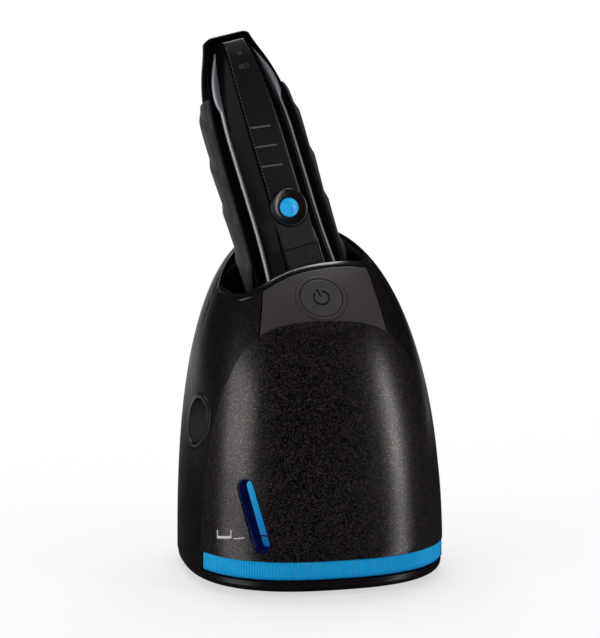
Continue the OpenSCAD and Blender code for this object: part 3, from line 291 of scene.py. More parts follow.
# The housing narrows towards its crown, which lies back: every level is the same rounded plan
body_w, front_depth, back_depth, body_h = 134 * mm, 67 * mm, 66.8 * mm, 175 * mm
crown_back, crown_power, plan_power, lean_power = 28 * mm, 2.48, 2.55, 2.25


def crown_share(z):
    return max(0.0, 1 - (max(z, 0.0) / body_h) ** crown_power) ** (1 / crown_power)


def half_w(z):
    return body_w / 2 * crown_share(z)


def mid_y(z):
    return crown_back * (max(z, 0.0) / body_h) ** lean_power


def rounded(c, power=plan_power):
    return math.copysign(abs(c) ** (2 / power), c)


def plan_at(z, inset, level, steps=200):
    """One ring of the plan at height z, drawn at another level."""
    ring = []
    for i in range(steps):
        c, s = math.cos(math.tau * i / steps), math.sin(math.tau * i / steps)
        depth = (front_depth if s < 0 else back_depth) * crown_share(z) - inset
        ring.append(((half_w(z) - inset) * rounded(c), mid_y(z) + depth * rounded(s), level))
    return ring


def moulded(name, colour, rough, grain=0.05, grain_size=0.25 * mm, relief=0.04, **more):
    """Plastic from a mould: fine spark-eroded grain, and faint flow marks in the gloss."""
    def draw(w):
        place = w.node("ShaderNodeTexCoord", outlet="Object")
        fine = w.node("ShaderNodeTexNoise", {}, {"Vector": place, "Scale": 1 / grain_size, "Detail": 2.0})
        flow = w.node("ShaderNodeTexNoise", {}, {"Vector": place, "Scale": 35.0, "Detail": 3.0})
        tone = (fine - 0.5) * grain + (flow - 0.5) * grain * 2 + 0.5
        dark = tuple(c * 0.82 for c in colour[:3]) + (1.0,)
        pale = tuple(min(1.0, c * 1.18) for c in colour[:3]) + (1.0,)
        bump = w.node("ShaderNodeBump", {}, {"Strength": relief, "Distance": 0.05 * mm, "Height": fine})
        return {"Base Color": tone.blend(dark, pale),
                "Roughness": (flow - 0.5) * 0.12 + (fine - 0.5) * 0.08 + rough,
                "Normal": bump} | more
    return finish(name, draw)


base_h = 7.8 * mm
tray_floor = base_h - 2 * mm
base_plastic = moulded("base_plastic", rgb(17, 13, 16), 0.3, **{"Specular IOR Level": 0.4})
tray = Mould()
round_turns = [math.radians(90 * k / 12) for k in range(13)]
edge = [(9.0, 3.6), (9.0, 2.1), (5.0, 2.1)]
edge += [(0.4 + 4 * (1 - math.sin(a)), 2.1 + 4 * (1 - math.cos(a))) for a in round_turns]
edge += [(0.4, 6.4), (0.62, 6.55), (0.62, 6.85), (0.4, 7.0), (0.4, 7.6), (0.6, 7.8), (2.8, 7.8), (3.0, 7.6)]
edge.append((3.1, 5.8))
tray.body([plan_at(8 * mm, inset * mm, level * mm) for inset, level in edge])
post_d, post_x, post_y, tank_half_w, tank_back = 8 * mm, 40 * mm, 44 * mm, 55.5 * mm, 24 * mm
boss_out, boss_in, boss_h, sunk = post_d / 2 + 4 * mm, post_d / 2 + 0.05 * mm, 8 * mm, 0.05 * mm
boss = [(boss_out, 0), (boss_out, boss_h - 0.2 * mm), (boss_out - 0.2 * mm, boss_h), (boss_in, boss_h),
        (boss_in, 0)]
turns = [math.tau * i / 72 for i in range(72)]
foot = tray_floor - sunk
for side in (-1, 1):
    tray.patch([[Vector((side * post_x + r * math.cos(a), post_y + r * math.sin(a), foot + up))
                 for a in turns]
                for r, up in boss + boss[:1]], True)
    rib_x = side * (tank_half_w + 1.3 * mm)
    block(tray, (rib_x - mm, 0, foot), (rib_x + mm, tank_back, foot + 6 * mm))
block(tray, (-30 * mm, tank_back + 0.3 * mm, foot), (30 * mm, tank_back + 2.3 * mm, foot + 12 * mm))
tray = join(tray.piece("base_tray_moulding", base_plastic), "base", "base_tray", slot="base_plastic")


def dress(material, *nodes):
    """Gives CAD nodes whose shape is right their finish."""
    for node in nodes:
        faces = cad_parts[node].data
        faces.materials.clear()
        faces.materials.append(material)


dress(moulded("cover_plastic", rgb(34, 32, 33), 0.55, relief=0.12), "base_cover")
dress(moulded("foot_rubber", rgb(38, 38, 40), 0.85, grain=0.12, relief=0.2, **{"Specular IOR Level": 0.25}),
      "rubber_feet")


# ---- Guide posts, springs and latch post
# Ground steel rods with coil springs round them, which push the housing up, and the moulded post
# that the lift button's arm hooks on to. Screws, the inner deck and the contacts get their finish too.
def metal(name, colour, rough, brushed=0.0, **more):
    """Bare or plated steel, with a faint haze of fine scratches."""
    def draw(w):
        place = w.node("ShaderNodeTexCoord", outlet="Object")
        streaks = w.node("ShaderNodeMapping", {},
                         {"Vector": place, "Scale": (1.0, 1.0, 0.04 if brushed else 1.0)})
        haze = w.node("ShaderNodeTexNoise", {}, {"Vector": streaks, "Scale": 2600.0, "Detail": 2.0})
        cloud = w.node("ShaderNodeTexNoise", {}, {"Vector": place, "Scale": 60.0})
        tone = (cloud - 0.5) * 0.5 + (haze - 0.5) * (0.4 + brushed) + 0.5
        dark = tuple(c * 0.85 for c in colour[:3]) + (1.0,)
        return {"Base Color": tone.blend(dark, colour), "Metallic": 1.0,
                "Roughness": (haze - 0.5) * 0.15 + rough} | more
    return finish(name, draw)


steel = metal("ground_steel", rgb(200, 202, 206), 0.22, brushed=0.3)
dress(steel, "guide_posts", "lift_springs")
dress(metal("plated_screw", rgb(176, 178, 182), 0.35), "base_screws", "deck_screws")
inner_plastic = moulded("inner_plastic", rgb(70, 69, 72), 0.6, relief=0.15)
dress(inner_plastic, "latch_post", "chassis_deck", "button_bracket", "drain_spout", "contact_block",
      "shaver_rest", "intake_nozzle")
dress(moulded("inlet_plastic", rgb(26, 25, 27), 0.5, relief=0.12), "inlet_socket")
gold = metal("gold_contact", rgb(228, 190, 110), 0.25)
dress(gold, "inlet_pins", "contact_pins", "shaver_pins")


# ---- Cartridge
# A blue translucent tank with a welded lid. Its front lip shows under the housing and is moulded
# with fine upright ribs for the fingers.
tank_blue = moulded("tank_blue", rgb(28, 128, 192), 0.28, grain=0.08,
                    **{"Specular IOR Level": 0.5, "Subsurface Weight": 0.15})
dress(tank_blue, "cartridge_tank", "cartridge_lid")
dress(moulded("filter_plastic", rgb(222, 224, 226), 0.5), "cartridge_filter", "guide_bushings")


def front_y(x, z):
    bulge = max(0.0, 1 - (abs(x) / half_w(z)) ** plan_power) ** (1 / plan_power)
    return mid_y(z) - front_depth * crown_share(z) * bulge


def depth_side(y, z):
    return front_depth if y < mid_y(z) else back_depth


def outside(p):
    """Above 0 outside the housing's surface and below 0 inside."""
    deep = abs(p.y - mid_y(p.z)) / depth_side(p.y, p.z)
    return (abs(p.x) / (body_w / 2)) ** plan_power + deep ** plan_power - crown_share(p.z) ** plan_power


def slope(p):
    """The direction that leads straight out of the housing's surface."""
    high, off, deep = p.z / body_h, p.y - mid_y(p.z), depth_side(p.y, p.z)
    dx = plan_power * abs(p.x) ** (plan_power - 1) / (body_w / 2) ** plan_power * math.copysign(1, p.x)
    dy = plan_power * abs(off) ** (plan_power - 1) / deep ** plan_power * math.copysign(1, off)
    lean = crown_back * lean_power / body_h * high ** (lean_power - 1)
    fade = max(0.0, 1 - high ** crown_power) ** (plan_power / crown_power - 1)
    rise = plan_power / body_h * high ** (crown_power - 1) * fade
    return Vector((dx, dy, rise - dy * lean))


def off_dome(p, gap):
    return p + slope(p).normalized() * gap


def drop(p, way):
    """The point of the housing's surface met from p along the direction way."""
    for _ in range(6):
        p = p - way * (outside(p) / slope(p).dot(way))
    return p


arch_side, arch_front, seam = 32.5 * mm, 36.5 * mm, 0.3 * mm
arch_bend, arch_rise = 112 * mm, 20 * mm
strip_foot, strip_h = base_h + 0.9 * mm, 9 * mm


def arch_half(z):
    edge = midway(arch_side, arch_front, max(0.0, (z - arch_bend) / arch_rise) ** 3)
    part = (mid_y(z) + edge) / (front_depth * crown_share(z))
    return half_w(z) * max(0.0, 1 - min(1.0, part) ** plan_power) ** (1 / plan_power)


strip_z = strip_foot + strip_h / 2
lip_half = arch_half(strip_z) - 2 * seam
rib_pitch = 1.15 * mm


def lip_point(x, inset):
    p = Vector((x, front_y(x, strip_z), strip_z))
    out = slope(p)
    out.z = 0
    rib = 0.5 + 0.5 * math.cos(math.tau * x / rib_pitch)
    return p - out.normalized() * (inset + 0.3 * mm * (1 - rib ** 0.7))


lip = Mould()
lip_x = [lip_half * (2 * i / 640 - 1) for i in range(641)]
face = [(0.9, 0.0), (0.35, 0.25), (0.15, 0.7), (0.1, 1.6), (0.1, 7.9), (0.18, 8.5), (0.5, 9.0)]
outer = [[Vector((*lip_point(x, inset * mm).xy, strip_foot + level * mm)) for x in lip_x]
         for inset, level in face]
inner = [[Vector((*lip_point(x, 3.2 * mm).xy, strip_foot + level * mm)) for x in lip_x] for _, level in face]
lip.slab(outer, inner)


def draw_lip(w):
    place = w.node("ShaderNodeTexCoord", outlet="Object")
    across, _, up = place.xyz()
    cloud = w.node("ShaderNodeTexNoise", {}, {"Vector": place, "Scale": 55.0, "Detail": 2.0})
    # Painted light and shade: the rib crests are painted lighter than the grooves between them.
    painted_rib_shading = w.node("ShaderNodeMath", {"operation": "COSINE"}, {0: across * (math.tau / rib_pitch)}) * 0.5 + 0.5
    # Painted shade: the lowest 2.2 mm of the lip, where its face rounds in, are painted darker.
    foot = up.between(strip_foot, strip_foot + 2.2 * mm)
    tone = painted_rib_shading * 0.25 + (cloud - 0.5) * 0.3 + foot * 0.55
    return {"Base Color": tone.blend(rgb(0, 118, 186), rgb(0, 172, 234)),
            "Roughness": (cloud - 0.5) * 0.1 + 0.32,
            "Specular IOR Level": 0.2, "Subsurface Weight": 0.1}


lip = join(lip.piece("cartridge_lip", finish("lip_blue", draw_lip)), "base", "cartridge_strip",
           slot="cartridge_blue")


# ---- Housing shell
# Glossy near-black plastic, moulded in one piece round the sides and the back, with a fine sparkle.
# Its rim follows the bowl, and it has a round hole for the lift button and a slot for the lead.
bowl_place = Vector((-6.2, 4.7, 150)) * mm
bowl_turned = (Matrix.Rotation(math.radians(-12), 3, "X") @ Matrix.Rotation(math.radians(-14.5), 3, "Y")
               @ Matrix.Rotation(math.radians(5.5), 3, "Z"))
bowl_half_w, bowl_half_d, bowl_power = 39.4 * mm, 22.9 * mm, 3.2


def from_bowl(q):
    return bowl_place + bowl_turned @ Vector(q)


def in_opening(p):
    q = bowl_turned.transposed() @ (p - bowl_place)
    return (abs(q.x) / bowl_half_w) ** bowl_power + (abs(q.y) / bowl_half_d) ** bowl_power < 1


def bisect(low, high, is_low, tries=24):
    for _ in range(tries):
        half = (low + high) / 2
        low, high = (half, high) if is_low(half) else (low, half)
    return (low + high) / 2


def dome_at(turn, z):
    c, s = math.cos(turn), math.sin(turn)
    depth = (front_depth if s < 0 else back_depth) * crown_share(z)
    return Vector((half_w(z) * rounded(c), mid_y(z) + depth * rounded(s), z))


control_foot_w, control_top_w = 66 * mm, 57 * mm


def arch_height(x):
    return bisect(60 * mm, 0.97 * body_h, lambda z: arch_half(z) > abs(x))


def rim_height(x):
    return bisect(120 * mm, 0.985 * body_h, lambda z: not in_opening(Vector((x, front_y(x, z), z))))


arch_top, control_foot_z = arch_height(0), arch_height(control_foot_w / 2)
rim_left, rim_right = rim_height(-control_top_w / 2), rim_height(control_top_w / 2)


def edge_turn(z, rim):
    if z < control_foot_z:
        edge = arch_half(z)
    else:
        edge = midway(control_foot_w / 2, control_top_w / 2, (z - control_foot_z) / (rim - control_foot_z))
    return math.acos(min(1.0, (edge / half_w(z)) ** (plan_power / 2)))


def shell_point(part, z):
    turn = midway(-edge_turn(z, rim_right), math.pi + edge_turn(z, rim_left), part)
    p = dome_at(turn, z)
    side = (part == 0) - (part == 1)
    if side:
        out = slope(p)
        out.z = 0
        out.normalize()
        p = p + Vector((-out.y, out.x, 0)) * side * seam / 2
    return p


def sparkle(name, colour, rough, flakes, glint, **more):
    """Dark plastic with fine metal flakes under its surface, each lying at its own tilt."""
    def draw(w):
        place = w.node("ShaderNodeTexCoord", outlet="Object")
        cell = w.node("ShaderNodeTexVoronoi", {}, {"Vector": place, "Scale": 1 / (0.42 * mm)}, "Color")
        pick, shine, _ = [cell.node("ShaderNodeSeparateColor", {}, {0: cell}, k) for k in range(3)]
        flow = w.node("ShaderNodeTexNoise", {}, {"Vector": place, "Scale": 30.0, "Detail": 3.0})
        fine = w.node("ShaderNodeTexNoise", {}, {"Vector": place, "Scale": 1 / (0.3 * mm), "Detail": 1.0})
        flake = pick.between(1 - flakes, 1 - flakes * 0.6) * shine
        dark = tuple(c * 0.8 for c in colour[:3]) + (1.0,)
        ground = flow.blend(dark, colour)
        tilt = w.node("ShaderNodeBump", {}, {"Strength": 0.1, "Distance": 0.06 * mm, "Height": fine})
        return {"Base Color": (flake * glint).blend(ground, rgb(190, 170, 165)), "Metallic": flake,
                "Roughness": (flow - 0.5) * 0.08 + rough, "Normal": tilt} | more
    return finish(name, draw)


shell_wall, shell_foot = 2.4 * mm, base_h + seam
shell_brown = sparkle("shell_brown", rgb(11, 8, 10), 0.36, 0.25, 0.12, **{"Specular IOR Level": 0.22})
round_cuts, up_cuts = 260, 110
outer = [[None] * (round_cuts + 1) for _ in range(up_cuts + 1)]
for i in range(round_cuts + 1):
    part = i / round_cuts
    if part in (0.0, 1.0):
        rim = rim_right if part == 0 else rim_left
    else:
        rim = bisect(110 * mm, body_h - 0.02 * mm, lambda z: not in_opening(shell_point(part, z)))
    for k in range(up_cuts + 1):
        outer[k][i] = shell_point(part, midway(shell_foot, rim, 1 - (1 - k / up_cuts) ** 1.5))
shell = Mould()
shell.slab(outer, [[off_dome(p, -shell_wall) for p in row] for row in outer])


def cutter(rings):
    """A closed body that is only used to cut a hole."""
    tool = Mould()
    tool.body(rings)
    shape = bpy.data.meshes.new("cutter")
    shape.from_pydata(tool.points, [], tool.faces)
    weld = link(bpy.data.objects.new("cutter", shape))
    weld.modifiers.new("weld", "WELD").merge_threshold = 0.002 * mm
    return weld


lift_z, lift_y = 80 * mm, 15 * mm
lift_at = drop(Vector((-half_w(lift_z), -lift_y, lift_z)), Vector((1, 0, 0)))


def hoop(at, way, r, steps=96):
    """Points on a circle round the direction way, anticlockwise as seen from its tip."""
    side = Vector((0, 0, 1)).cross(way).normalized()
    up = way.cross(side)
    turns = [math.tau * i / steps for i in range(steps)]
    return [at + (side * math.cos(turn) + up * math.sin(turn)) * r for turn in turns]


left = Vector((-1, 0, 0))
lift_hole = cutter([hoop(lift_at + left * d, left, 14.5 * mm) for d in (-8 * mm, 8 * mm)])
inlet_w, inlet_h, inlet_z = 20 * mm, 14 * mm, 30 * mm
corners = [(1, -1), (1, 1), (-1, 1), (-1, -1)]
inlet_hole = cutter([[Vector((-x * inlet_w / 2, y, inlet_z + z * inlet_h / 2)) for x, z in corners]
                     for y in (40 * mm, 110 * mm)])
shell = shell.piece("housing_moulding", shell_brown, bevel=0.35 * mm, cutters=[lift_hole, inlet_hole])
join(shell, "housing", "housing_shell", slot="shell_brown")


# ---- Front panel
# The arched black cover over the front, a separate moulding that stands half a millimetre proud.
# Fine flakes in the plastic glint where the light falls. A slot shows the level of the cartridge.
panel_proud = 0.5 * mm
panel_foot = strip_foot + strip_h + seam
panel_black = sparkle("panel_black", rgb(3, 2, 4), 0.29, 0.4, 0.26, **{"Specular IOR Level": 0.5})


def panel_point(share, up):
    z = midway(panel_foot, arch_top - 0.06 * mm, math.sin(math.pi / 2 * up) ** 0.85)
    x = max(0.01 * mm, arch_half(z) - seam / 2) * math.sin(math.pi / 2 * share)
    return Vector((x, front_y(x, z), z))


grid = [[panel_point(2 * i / 180 - 1, k / 130) for i in range(181)] for k in range(131)]
panel = Mould()
panel.slab([[off_dome(p, panel_proud) for p in row] for row in grid],
           [[off_dome(p, panel_proud - shell_wall) for p in row] for row in grid])
window_x, window_z, window_run, window_w = 41 * mm, 40 * mm, 28.8 * mm, 9.2 * mm
window_lean = math.radians(18.5)
window_at = Vector((-window_x, front_y(-window_x, window_z), window_z))
window_out = slope(window_at)
window_turn = math.atan2(-window_out.x, -window_out.y)
window_place = (Matrix.Translation(window_at) @ Matrix.Rotation(-window_turn, 4, "Z")
                @ Matrix.Rotation(math.radians(90), 4, "X") @ Matrix.Rotation(window_lean, 4, "Z"))


def slot_ring(grow, deep, shift=0.0, steps=24):
    """The window's outline, so far from the panel's surface along its own axis."""
    ring, r = [], window_w / 2 + grow
    for end in (1, -1):
        for i in range(steps + 1):
            a = math.pi * i / steps + (0 if end > 0 else math.pi)
            at = Vector((shift + r * math.cos(a), end * window_run / 2 + r * math.sin(a), deep))
            ring.append(window_place @ at)
    return ring


slot = cutter([slot_ring(0, d * mm) for d in (-9, 9)])
panel = panel.piece("front_cover", panel_black, bevel=0.3 * mm, cutters=[slot])
join(panel, "housing", "front_panel", slot="panel_black")


# ---- Level window
# A cup of clear blue plastic behind the slot. Its left wall slopes in, and the walls are painted navy as
# painted shade. Through its floor the blue of the tank shows, with a dark line at the level of the fluid.
window_deep, level_z, line_half, floor_shift = 3.6 * mm, 29.9 * mm, 0.4 * mm, 1.7 * mm


def draw_window(w):
    place = w.node("ShaderNodeTexCoord", outlet="Object")
    _, _, up = place.xyz()
    level = abs(up - level_z) < line_half
    # Painted light: the pane is painted lighter towards its top.
    shade = up.between(22 * mm, 56 * mm)
    below = up < level_z
    tone = shade.blend(rgb(0, 120, 196), rgb(30, 176, 240))
    tone = (below * 0.3).blend(tone, rgb(0, 60, 130))
    return {"Base Color": level.blend(tone, rgb(4, 22, 60)), "Roughness": level * 0.2 + 0.16}


def to_dome(p, gap):
    """The point on the panel's surface behind p, so far inside it."""
    way = (window_place.to_3x3() @ Vector((0, 0, 1))).normalized()
    return drop(p, way) + way * gap


def window_row(gap, grow, shift=0.0):
    return [to_dome(p, gap) for p in slot_ring(grow, 0, shift)]


window = Mould()
rim_top, floor_gap = panel_proud - 0.6 * mm, panel_proud - window_deep
walls = [window_row(floor_gap - 1.2 * mm, -0.1 * mm), window_row(rim_top - 0.15 * mm, -0.1 * mm),
         window_row(rim_top, -0.25 * mm), window_row(rim_top, -0.75 * mm),
         window_row(rim_top - 0.2 * mm, -0.9 * mm), window_row(floor_gap + 0.15 * mm, -2.4 * mm, floor_shift)]
pane = [window_row(floor_gap, grow * mm, floor_shift) for grow in (-2.55, -3.4)]
window.patch(walls, True)
window.lid(walls[0], turned=True)
window.patch(walls[-1:] + pane, True, 1)
window.lid(pane[-1], 1)
# The cup's walls and rim get this dark navy: painted shade over the clear blue plastic.
wall_painted_shade_navy = moulded("window_wall_painted_shade", rgb(0, 14, 70), 0.2, relief=0.0, **{"Specular IOR Level": 0.3})
window = window.piece("level_pane", wall_painted_shade_navy, finish("window_pane", draw_window))
join(window, "housing", "level_window", slot="window_blue")


# ---- Level marks
# A small cup sign and a dash, printed in light grey beside the lower end of the window.
def printed(name, colour, body, strokes, surface, thick=0.05 * mm):
    """Ink on a surface: each stroke is a flat outline, and surface(x, y, gap) gives its place."""
    ink = Mould()
    for x0, y0, x1, y1 in strokes:
        nx, ny = [max(2, int(run / (0.5 * mm)) + 1) for run in (abs(x1 - x0), abs(y1 - y0))]
        xs = [midway(x0, x1, i / nx) for i in range(nx + 1)]
        ys = [midway(y0, y1, k / ny) for k in range(ny + 1)]
        ink.slab(*[[[surface(x, y, gap) for x in xs] for y in ys] for gap in (thick, -thick)])
    made = ink.piece(name, moulded(name + "_ink", colour, 0.5, relief=0.0))
    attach(made, body)
    return made


def on_panel(x, z, gap):
    return off_dome(Vector((x, front_y(x, z), z)), panel_proud + gap)


def on_slant(x, z, gap):
    """The signs run level with the window's foot, so they climb a little to the right."""
    return on_panel(x, z + 0.24 * (x + 54 * mm), gap)


cup = [(-56.3, 28.5, -55.9, 31.5), (-50.9, 28.5, -50.5, 31.5), (-56.3, 27.2, -50.5, 28.5)]
dash = [(-49.6, 26.7, -45.0, 27.2)]
ink_grey = rgb(196, 192, 190)
printed("cup_sign", ink_grey, "housing", [[v * mm for v in stroke] for stroke in cup], on_slant)
printed("level_dash", ink_grey, "housing", [[v * mm for v in stroke] for stroke in dash], on_slant)


# ---- Control panel
# The brown-grey cover between the front panel and the bowl, silky and a little lighter than the
# shell. The start button and its flush ring sit in its middle.
start_z = 142.7 * mm
start_at = Vector((0, front_y(0, start_z), start_z))
start_way = slope(start_at).normalized()
control_grey = moulded("control_grey", rgb(52, 46, 50), 0.5, grain=0.1, relief=0.06,
                       **{"Specular IOR Level": 0.4})


def control_point(share, up):
    x = share * (midway(control_foot_w, control_top_w, up) / 2 - seam)
    foot, rim = arch_height(share * control_foot_w / 2) + seam / 2, rim_height(share * control_top_w / 2)
    z = midway(foot, rim, up)
    return Vector((x, front_y(x, z), z))


grid = [[control_point(i / 60 - 1, k / 40) for i in range(121)] for k in range(41)]
control = Mould()
control.slab(grid, [[off_dome(p, -shell_wall) for p in row] for row in grid])
ring_hole = cutter([hoop(start_at + start_way * d * mm, start_way, 13.3 * mm) for d in (-6, 6)])
control = control.piece("control_cover", control_grey, bevel=0.3 * mm, cutters=[ring_hole])
join(control, "housing", "control_panel", slot="control_grey")


def flush_ring(name, at, way, inner_r, outer_r, gap, thick, material, nodes, slot):
    """A ring that follows the housing's surface, with softened edges."""
    soft = 0.3 * mm
    section = [(inner_r, gap - thick), (inner_r, gap - soft), (inner_r + soft * 0.3, gap - soft * 0.3)]
    section += [(inner_r + soft, gap), (outer_r - soft, gap), (outer_r - soft * 0.3, gap - soft * 0.3)]
    section += [(outer_r, gap - soft), (outer_r, gap - thick)]
    ring = Mould()
    ring.patch([[drop(p, way) + way * up for p in hoop(at, way, r)] for r, up in section + section[:1]], True)
    return join(ring.piece(name, material), "housing", *nodes, slot=slot)


flush_ring("start_ring", start_at, start_way, 11.1 * mm, 13.15 * mm, 0.2 * mm, 2.1 * mm, control_grey,
           ["start_button_ring"], "control_grey")
lift_ring_brown = moulded("lift_ring_brown", rgb(20, 16, 19), 0.32, **{"Specular IOR Level": 0.45})
flush_ring("lift_ring", lift_at, left, 11.35 * mm, 14.3 * mm, 0.25 * mm, 2.2 * mm, lift_ring_brown,
           ["lift_button_ring"], "shell_brown")


# ---- Start button
# A round key, very slightly dished, with a power sign engraved in it. A stem behind it works the
# switch on its little board.
def key_rings(at, way, r, gap, thick, dish):
    soft = 0.35 * mm
    rims = [(r, gap - thick), (r, gap - soft), (r - soft * 0.3, gap - soft * 0.3), (r - soft, gap)]
    rims += [(r * s, gap - dish * (1 - s * s)) for s in (0.93, 0.85, 0.74, 0.6, 0.45, 0.3, 0.15)]
    return [[drop(p, way) + way * up for p in hoop(at, way, ring)] for ring, up in rims]


start = Mould()
start.body(key_rings(start_at, start_way, 10.75 * mm, 0.25 * mm, 1.9 * mm, 0.35 * mm))
stem = [hoop(start_at - start_way * d * mm, start_way, 2.5 * mm) for d in (3.4, 1.5)]
start.body(stem)
start_side = Vector((0, 0, 1)).cross(start_way).normalized()
start_up = start_way.cross(start_side)


def on_key(x, y, up):
    """A point beside and above the start button's centre, turned with its sign."""
    turn = math.radians(20)
    x, y = x * math.cos(turn) - y * math.sin(turn), x * math.sin(turn) + y * math.cos(turn)
    return start_at + start_side * x + start_up * y + start_way * up


def groove(outline):
    """A shallow engraving with upright sides."""
    return cutter([[on_key(x, y, up * mm) for x, y in outline] for up in (-0.55, 2)])


gap_angle, arc = math.radians(30), []
for k in range(49):
    a = math.pi / 2 + gap_angle + (math.tau - 2 * gap_angle) * k / 48
    arc.append((math.cos(a), math.sin(a)))
sign = [(4.4 * mm * c, 4.4 * mm * s) for c, s in arc]
sign += [(3.4 * mm * c, 3.4 * mm * s) for c, s in reversed(arc)]
bar = [(0.5 * mm, 0.8 * mm), (0.5 * mm, 5.3 * mm), (-0.5 * mm, 5.3 * mm), (-0.5 * mm, 0.8 * mm)]
cuts = [groove(sign), groove(bar)]
# Painted shade: the power sign's groove is painted near-black, for the shade inside the engraving.
groove_painted_shade = moulded("groove_painted_shade", rgb(16, 12, 13), 0.6)
for cut in cuts:
    cut.data.materials.append(groove_painted_shade)
button_grey = moulded("button_grey", rgb(56, 52, 57), 0.45, grain=0.08, relief=0.06,
                      **{"Specular IOR Level": 0.4})
join(start.piece("start_key", button_grey, groove_painted_shade, cutters=cuts, corner=30), "start_button",
     "start_button", slot="button_grey")
dress(moulded("circuit_board", rgb(30, 92, 58), 0.4, grain=0.2), "main_board", "start_switch")


# ---- Lift button
# A dished round key on the left side. Its arm reaches down behind it to the latch post.
lift = Mould()
lift.body(key_rings(lift_at, left, 11 * mm, 0.15 * mm, 2 * mm, 0.9 * mm))
arm_x, latch_top = 57.0 * mm, 65 * mm
lift.body([hoop(Vector((x, lift_at.y, lift_z)), left, 3.5 * mm, 48)
           for x in (-49.7 * mm, lift_at.x + 1.5 * mm)])
block(lift, (-arm_x + 0.6 * mm, -lift_y - 3.5 * mm, latch_top - 7 * mm),
      (-arm_x + 2.6 * mm, -lift_y + 3.5 * mm, lift_z))
block(lift, (-arm_x, -lift_y - 3.5 * mm, latch_top - 6.6 * mm),
      (-arm_x + 1 * mm, -lift_y + 3.5 * mm, latch_top - 4 * mm))
lift_brown = moulded("lift_brown", rgb(36, 29, 31), 0.34, **{"Specular IOR Level": 0.4})
join(lift.piece("lift_key", lift_brown), "lift_button", "lift_button", slot="shell_brown")
block(lift, (-arm_x, -lift_y - 3.5 * mm, latch_top - 6.6 * mm),
      (-arm_x + 1 * mm, -lift_y + 3.5 * mm, latch_top - 4 * mm))
lift_brown = moulded("lift_brown", rgb(16, 13, 16), 0.32, **{"Specular IOR Level": 0.45})
join(lift.piece("lift_key", lift_brown, corner=30), "lift_button", "lift_button", slot="button_grey")


# ---- Cleaning bowl
# A glossy black tub under the opening, moulded with its floor. It catches the fluid that washes
# the foils and lets it run back to the cartridge through a drain.
bowl_depth, floor_t = 42 * mm, 2 * mm


def bowl_edge(turn, inset, w):
    return Vector(((bowl_half_w - inset) * rounded(math.cos(turn), bowl_power),
                   (bowl_half_d - inset) * rounded(math.sin(turn), bowl_power), w))


def wall_rim(turn, inset):
    return bisect(-45 * mm, 40 * mm, lambda w: outside(from_bowl(bowl_edge(turn, inset, w))) < 0)


tub_turns = [math.tau * i / 180 for i in range(180)]
tub_foot = -bowl_depth - floor_t
tub_rings = [[from_bowl(bowl_edge(t, inset * mm, tub_foot + level * mm)) for t in tub_turns]
             for inset, level in ((2.25, 0), (0.8, 0.55), (0.25, 2))]
tub_rings += [[from_bowl(bowl_edge(t, inset * mm, wall_rim(t, inset * mm) - down * mm)) for t in tub_turns]
              for inset, down in ((0.25, 0.6), (0.25, 0.25), (0.6, 0), (1.9, 0), (2.25, 0.3), (2.25, 1.2))]
tub_rings += [[from_bowl(bowl_edge(t, inset * mm, tub_foot + level * mm)) for t in tub_turns]
              for inset, level in ((2.25, 5), (3.1, 2.9), (5.25, 2))]
tub = Mould()
tub.body(tub_rings)
up = Vector((0, 0, 1))
drain_at, wash_at = from_bowl((-25 * mm, 11 * mm, tub_foot)), from_bowl((-8 * mm, 14 * mm, tub_foot))
bores = [cutter([hoop(Vector((at.x, at.y, z * mm)), up, r * mm, 48) for z in heights])
         for at, r, heights in ((drain_at, 4.5, (80, 120)), (wash_at, 2, (90, 114)))]
bowl_black = moulded("bowl_black", rgb(16, 15, 17), 0.2, **{"Specular IOR Level": 0.5})
join(tub.piece("bowl_tub", bowl_black, cutters=bores), "housing", "cleaning_bowl", slot="bowl_black")


# ---- Pump
# A white moulded housing with a can motor on it. The rotor inside lifts the fluid from the
# cartridge, and a pipe leads it to the bowl.
dress(moulded("pump_white", rgb(206, 206, 202), 0.5, relief=0.12), "pump_housing", "wash_pipe", "pump_rotor")
dress(metal("motor_can", rgb(170, 172, 176), 0.3, brushed=0.2), "pump_motor")


# ---- Shaver handle
# The black core that carries the shaver's other mouldings: glossy at its sides and its back. It is
# drawn where it stands, head down, in the leaning frame of the bowl.
shaver_u, shaver_top, handle_foot, panel_seam = 1.5 * mm, 129 * mm, -8 * mm, 7.7 * mm
handle_top = shaver_top - 3 * mm
core_rows = [(-8, 25.8, 16), (10, 25.6, 16.6), (30, 24.8, 16.6), (60, 24.5, 16.6), (80, 23.8, 16.4),
             (95, 22, 15.6), (107, 19.4, 14.2), (118, 15.6, 12.4), (126, 11.6, 10.6)]


def docked(u, v, w):
    """A point of the shaver: across it, towards its back, and up from the bowl along its length."""
    return from_bowl((u + shaver_u, v, w))


def row_at(w, column):
    for low, high in zip(core_rows, core_rows[1:]):
        if w <= high[0]:
            return midway(low[column], high[column], max(0.0, w - low[0]) / (high[0] - low[0]))
    return core_rows[-1][column]


def core_size(w, column):
    """Half width (column 1) or half thickness (column 2) of the core, eased along its length."""
    shares = ((1, -9), (2, -6), (3, -3), (4, 0), (3, 3), (2, 6), (1, 9))
    return sum(share * row_at(w / mm + step, column) for share, step in shares) / 16 * mm


def front_share(w):
    return min(1.0, core_size(w, 1) / core_size(60 * mm, 1) * 1.02)


def core_point(turn, w, grow=0.0):
    """A point of the core's round sides and back, turned from the right-hand side towards the back."""
    return Vector(((core_size(w, 1) + grow) * rounded(math.cos(turn), 2.5),
                   max(-panel_seam * front_share(w),
                       (core_size(w, 2) + grow) * rounded(math.sin(turn), 2.5)), w))


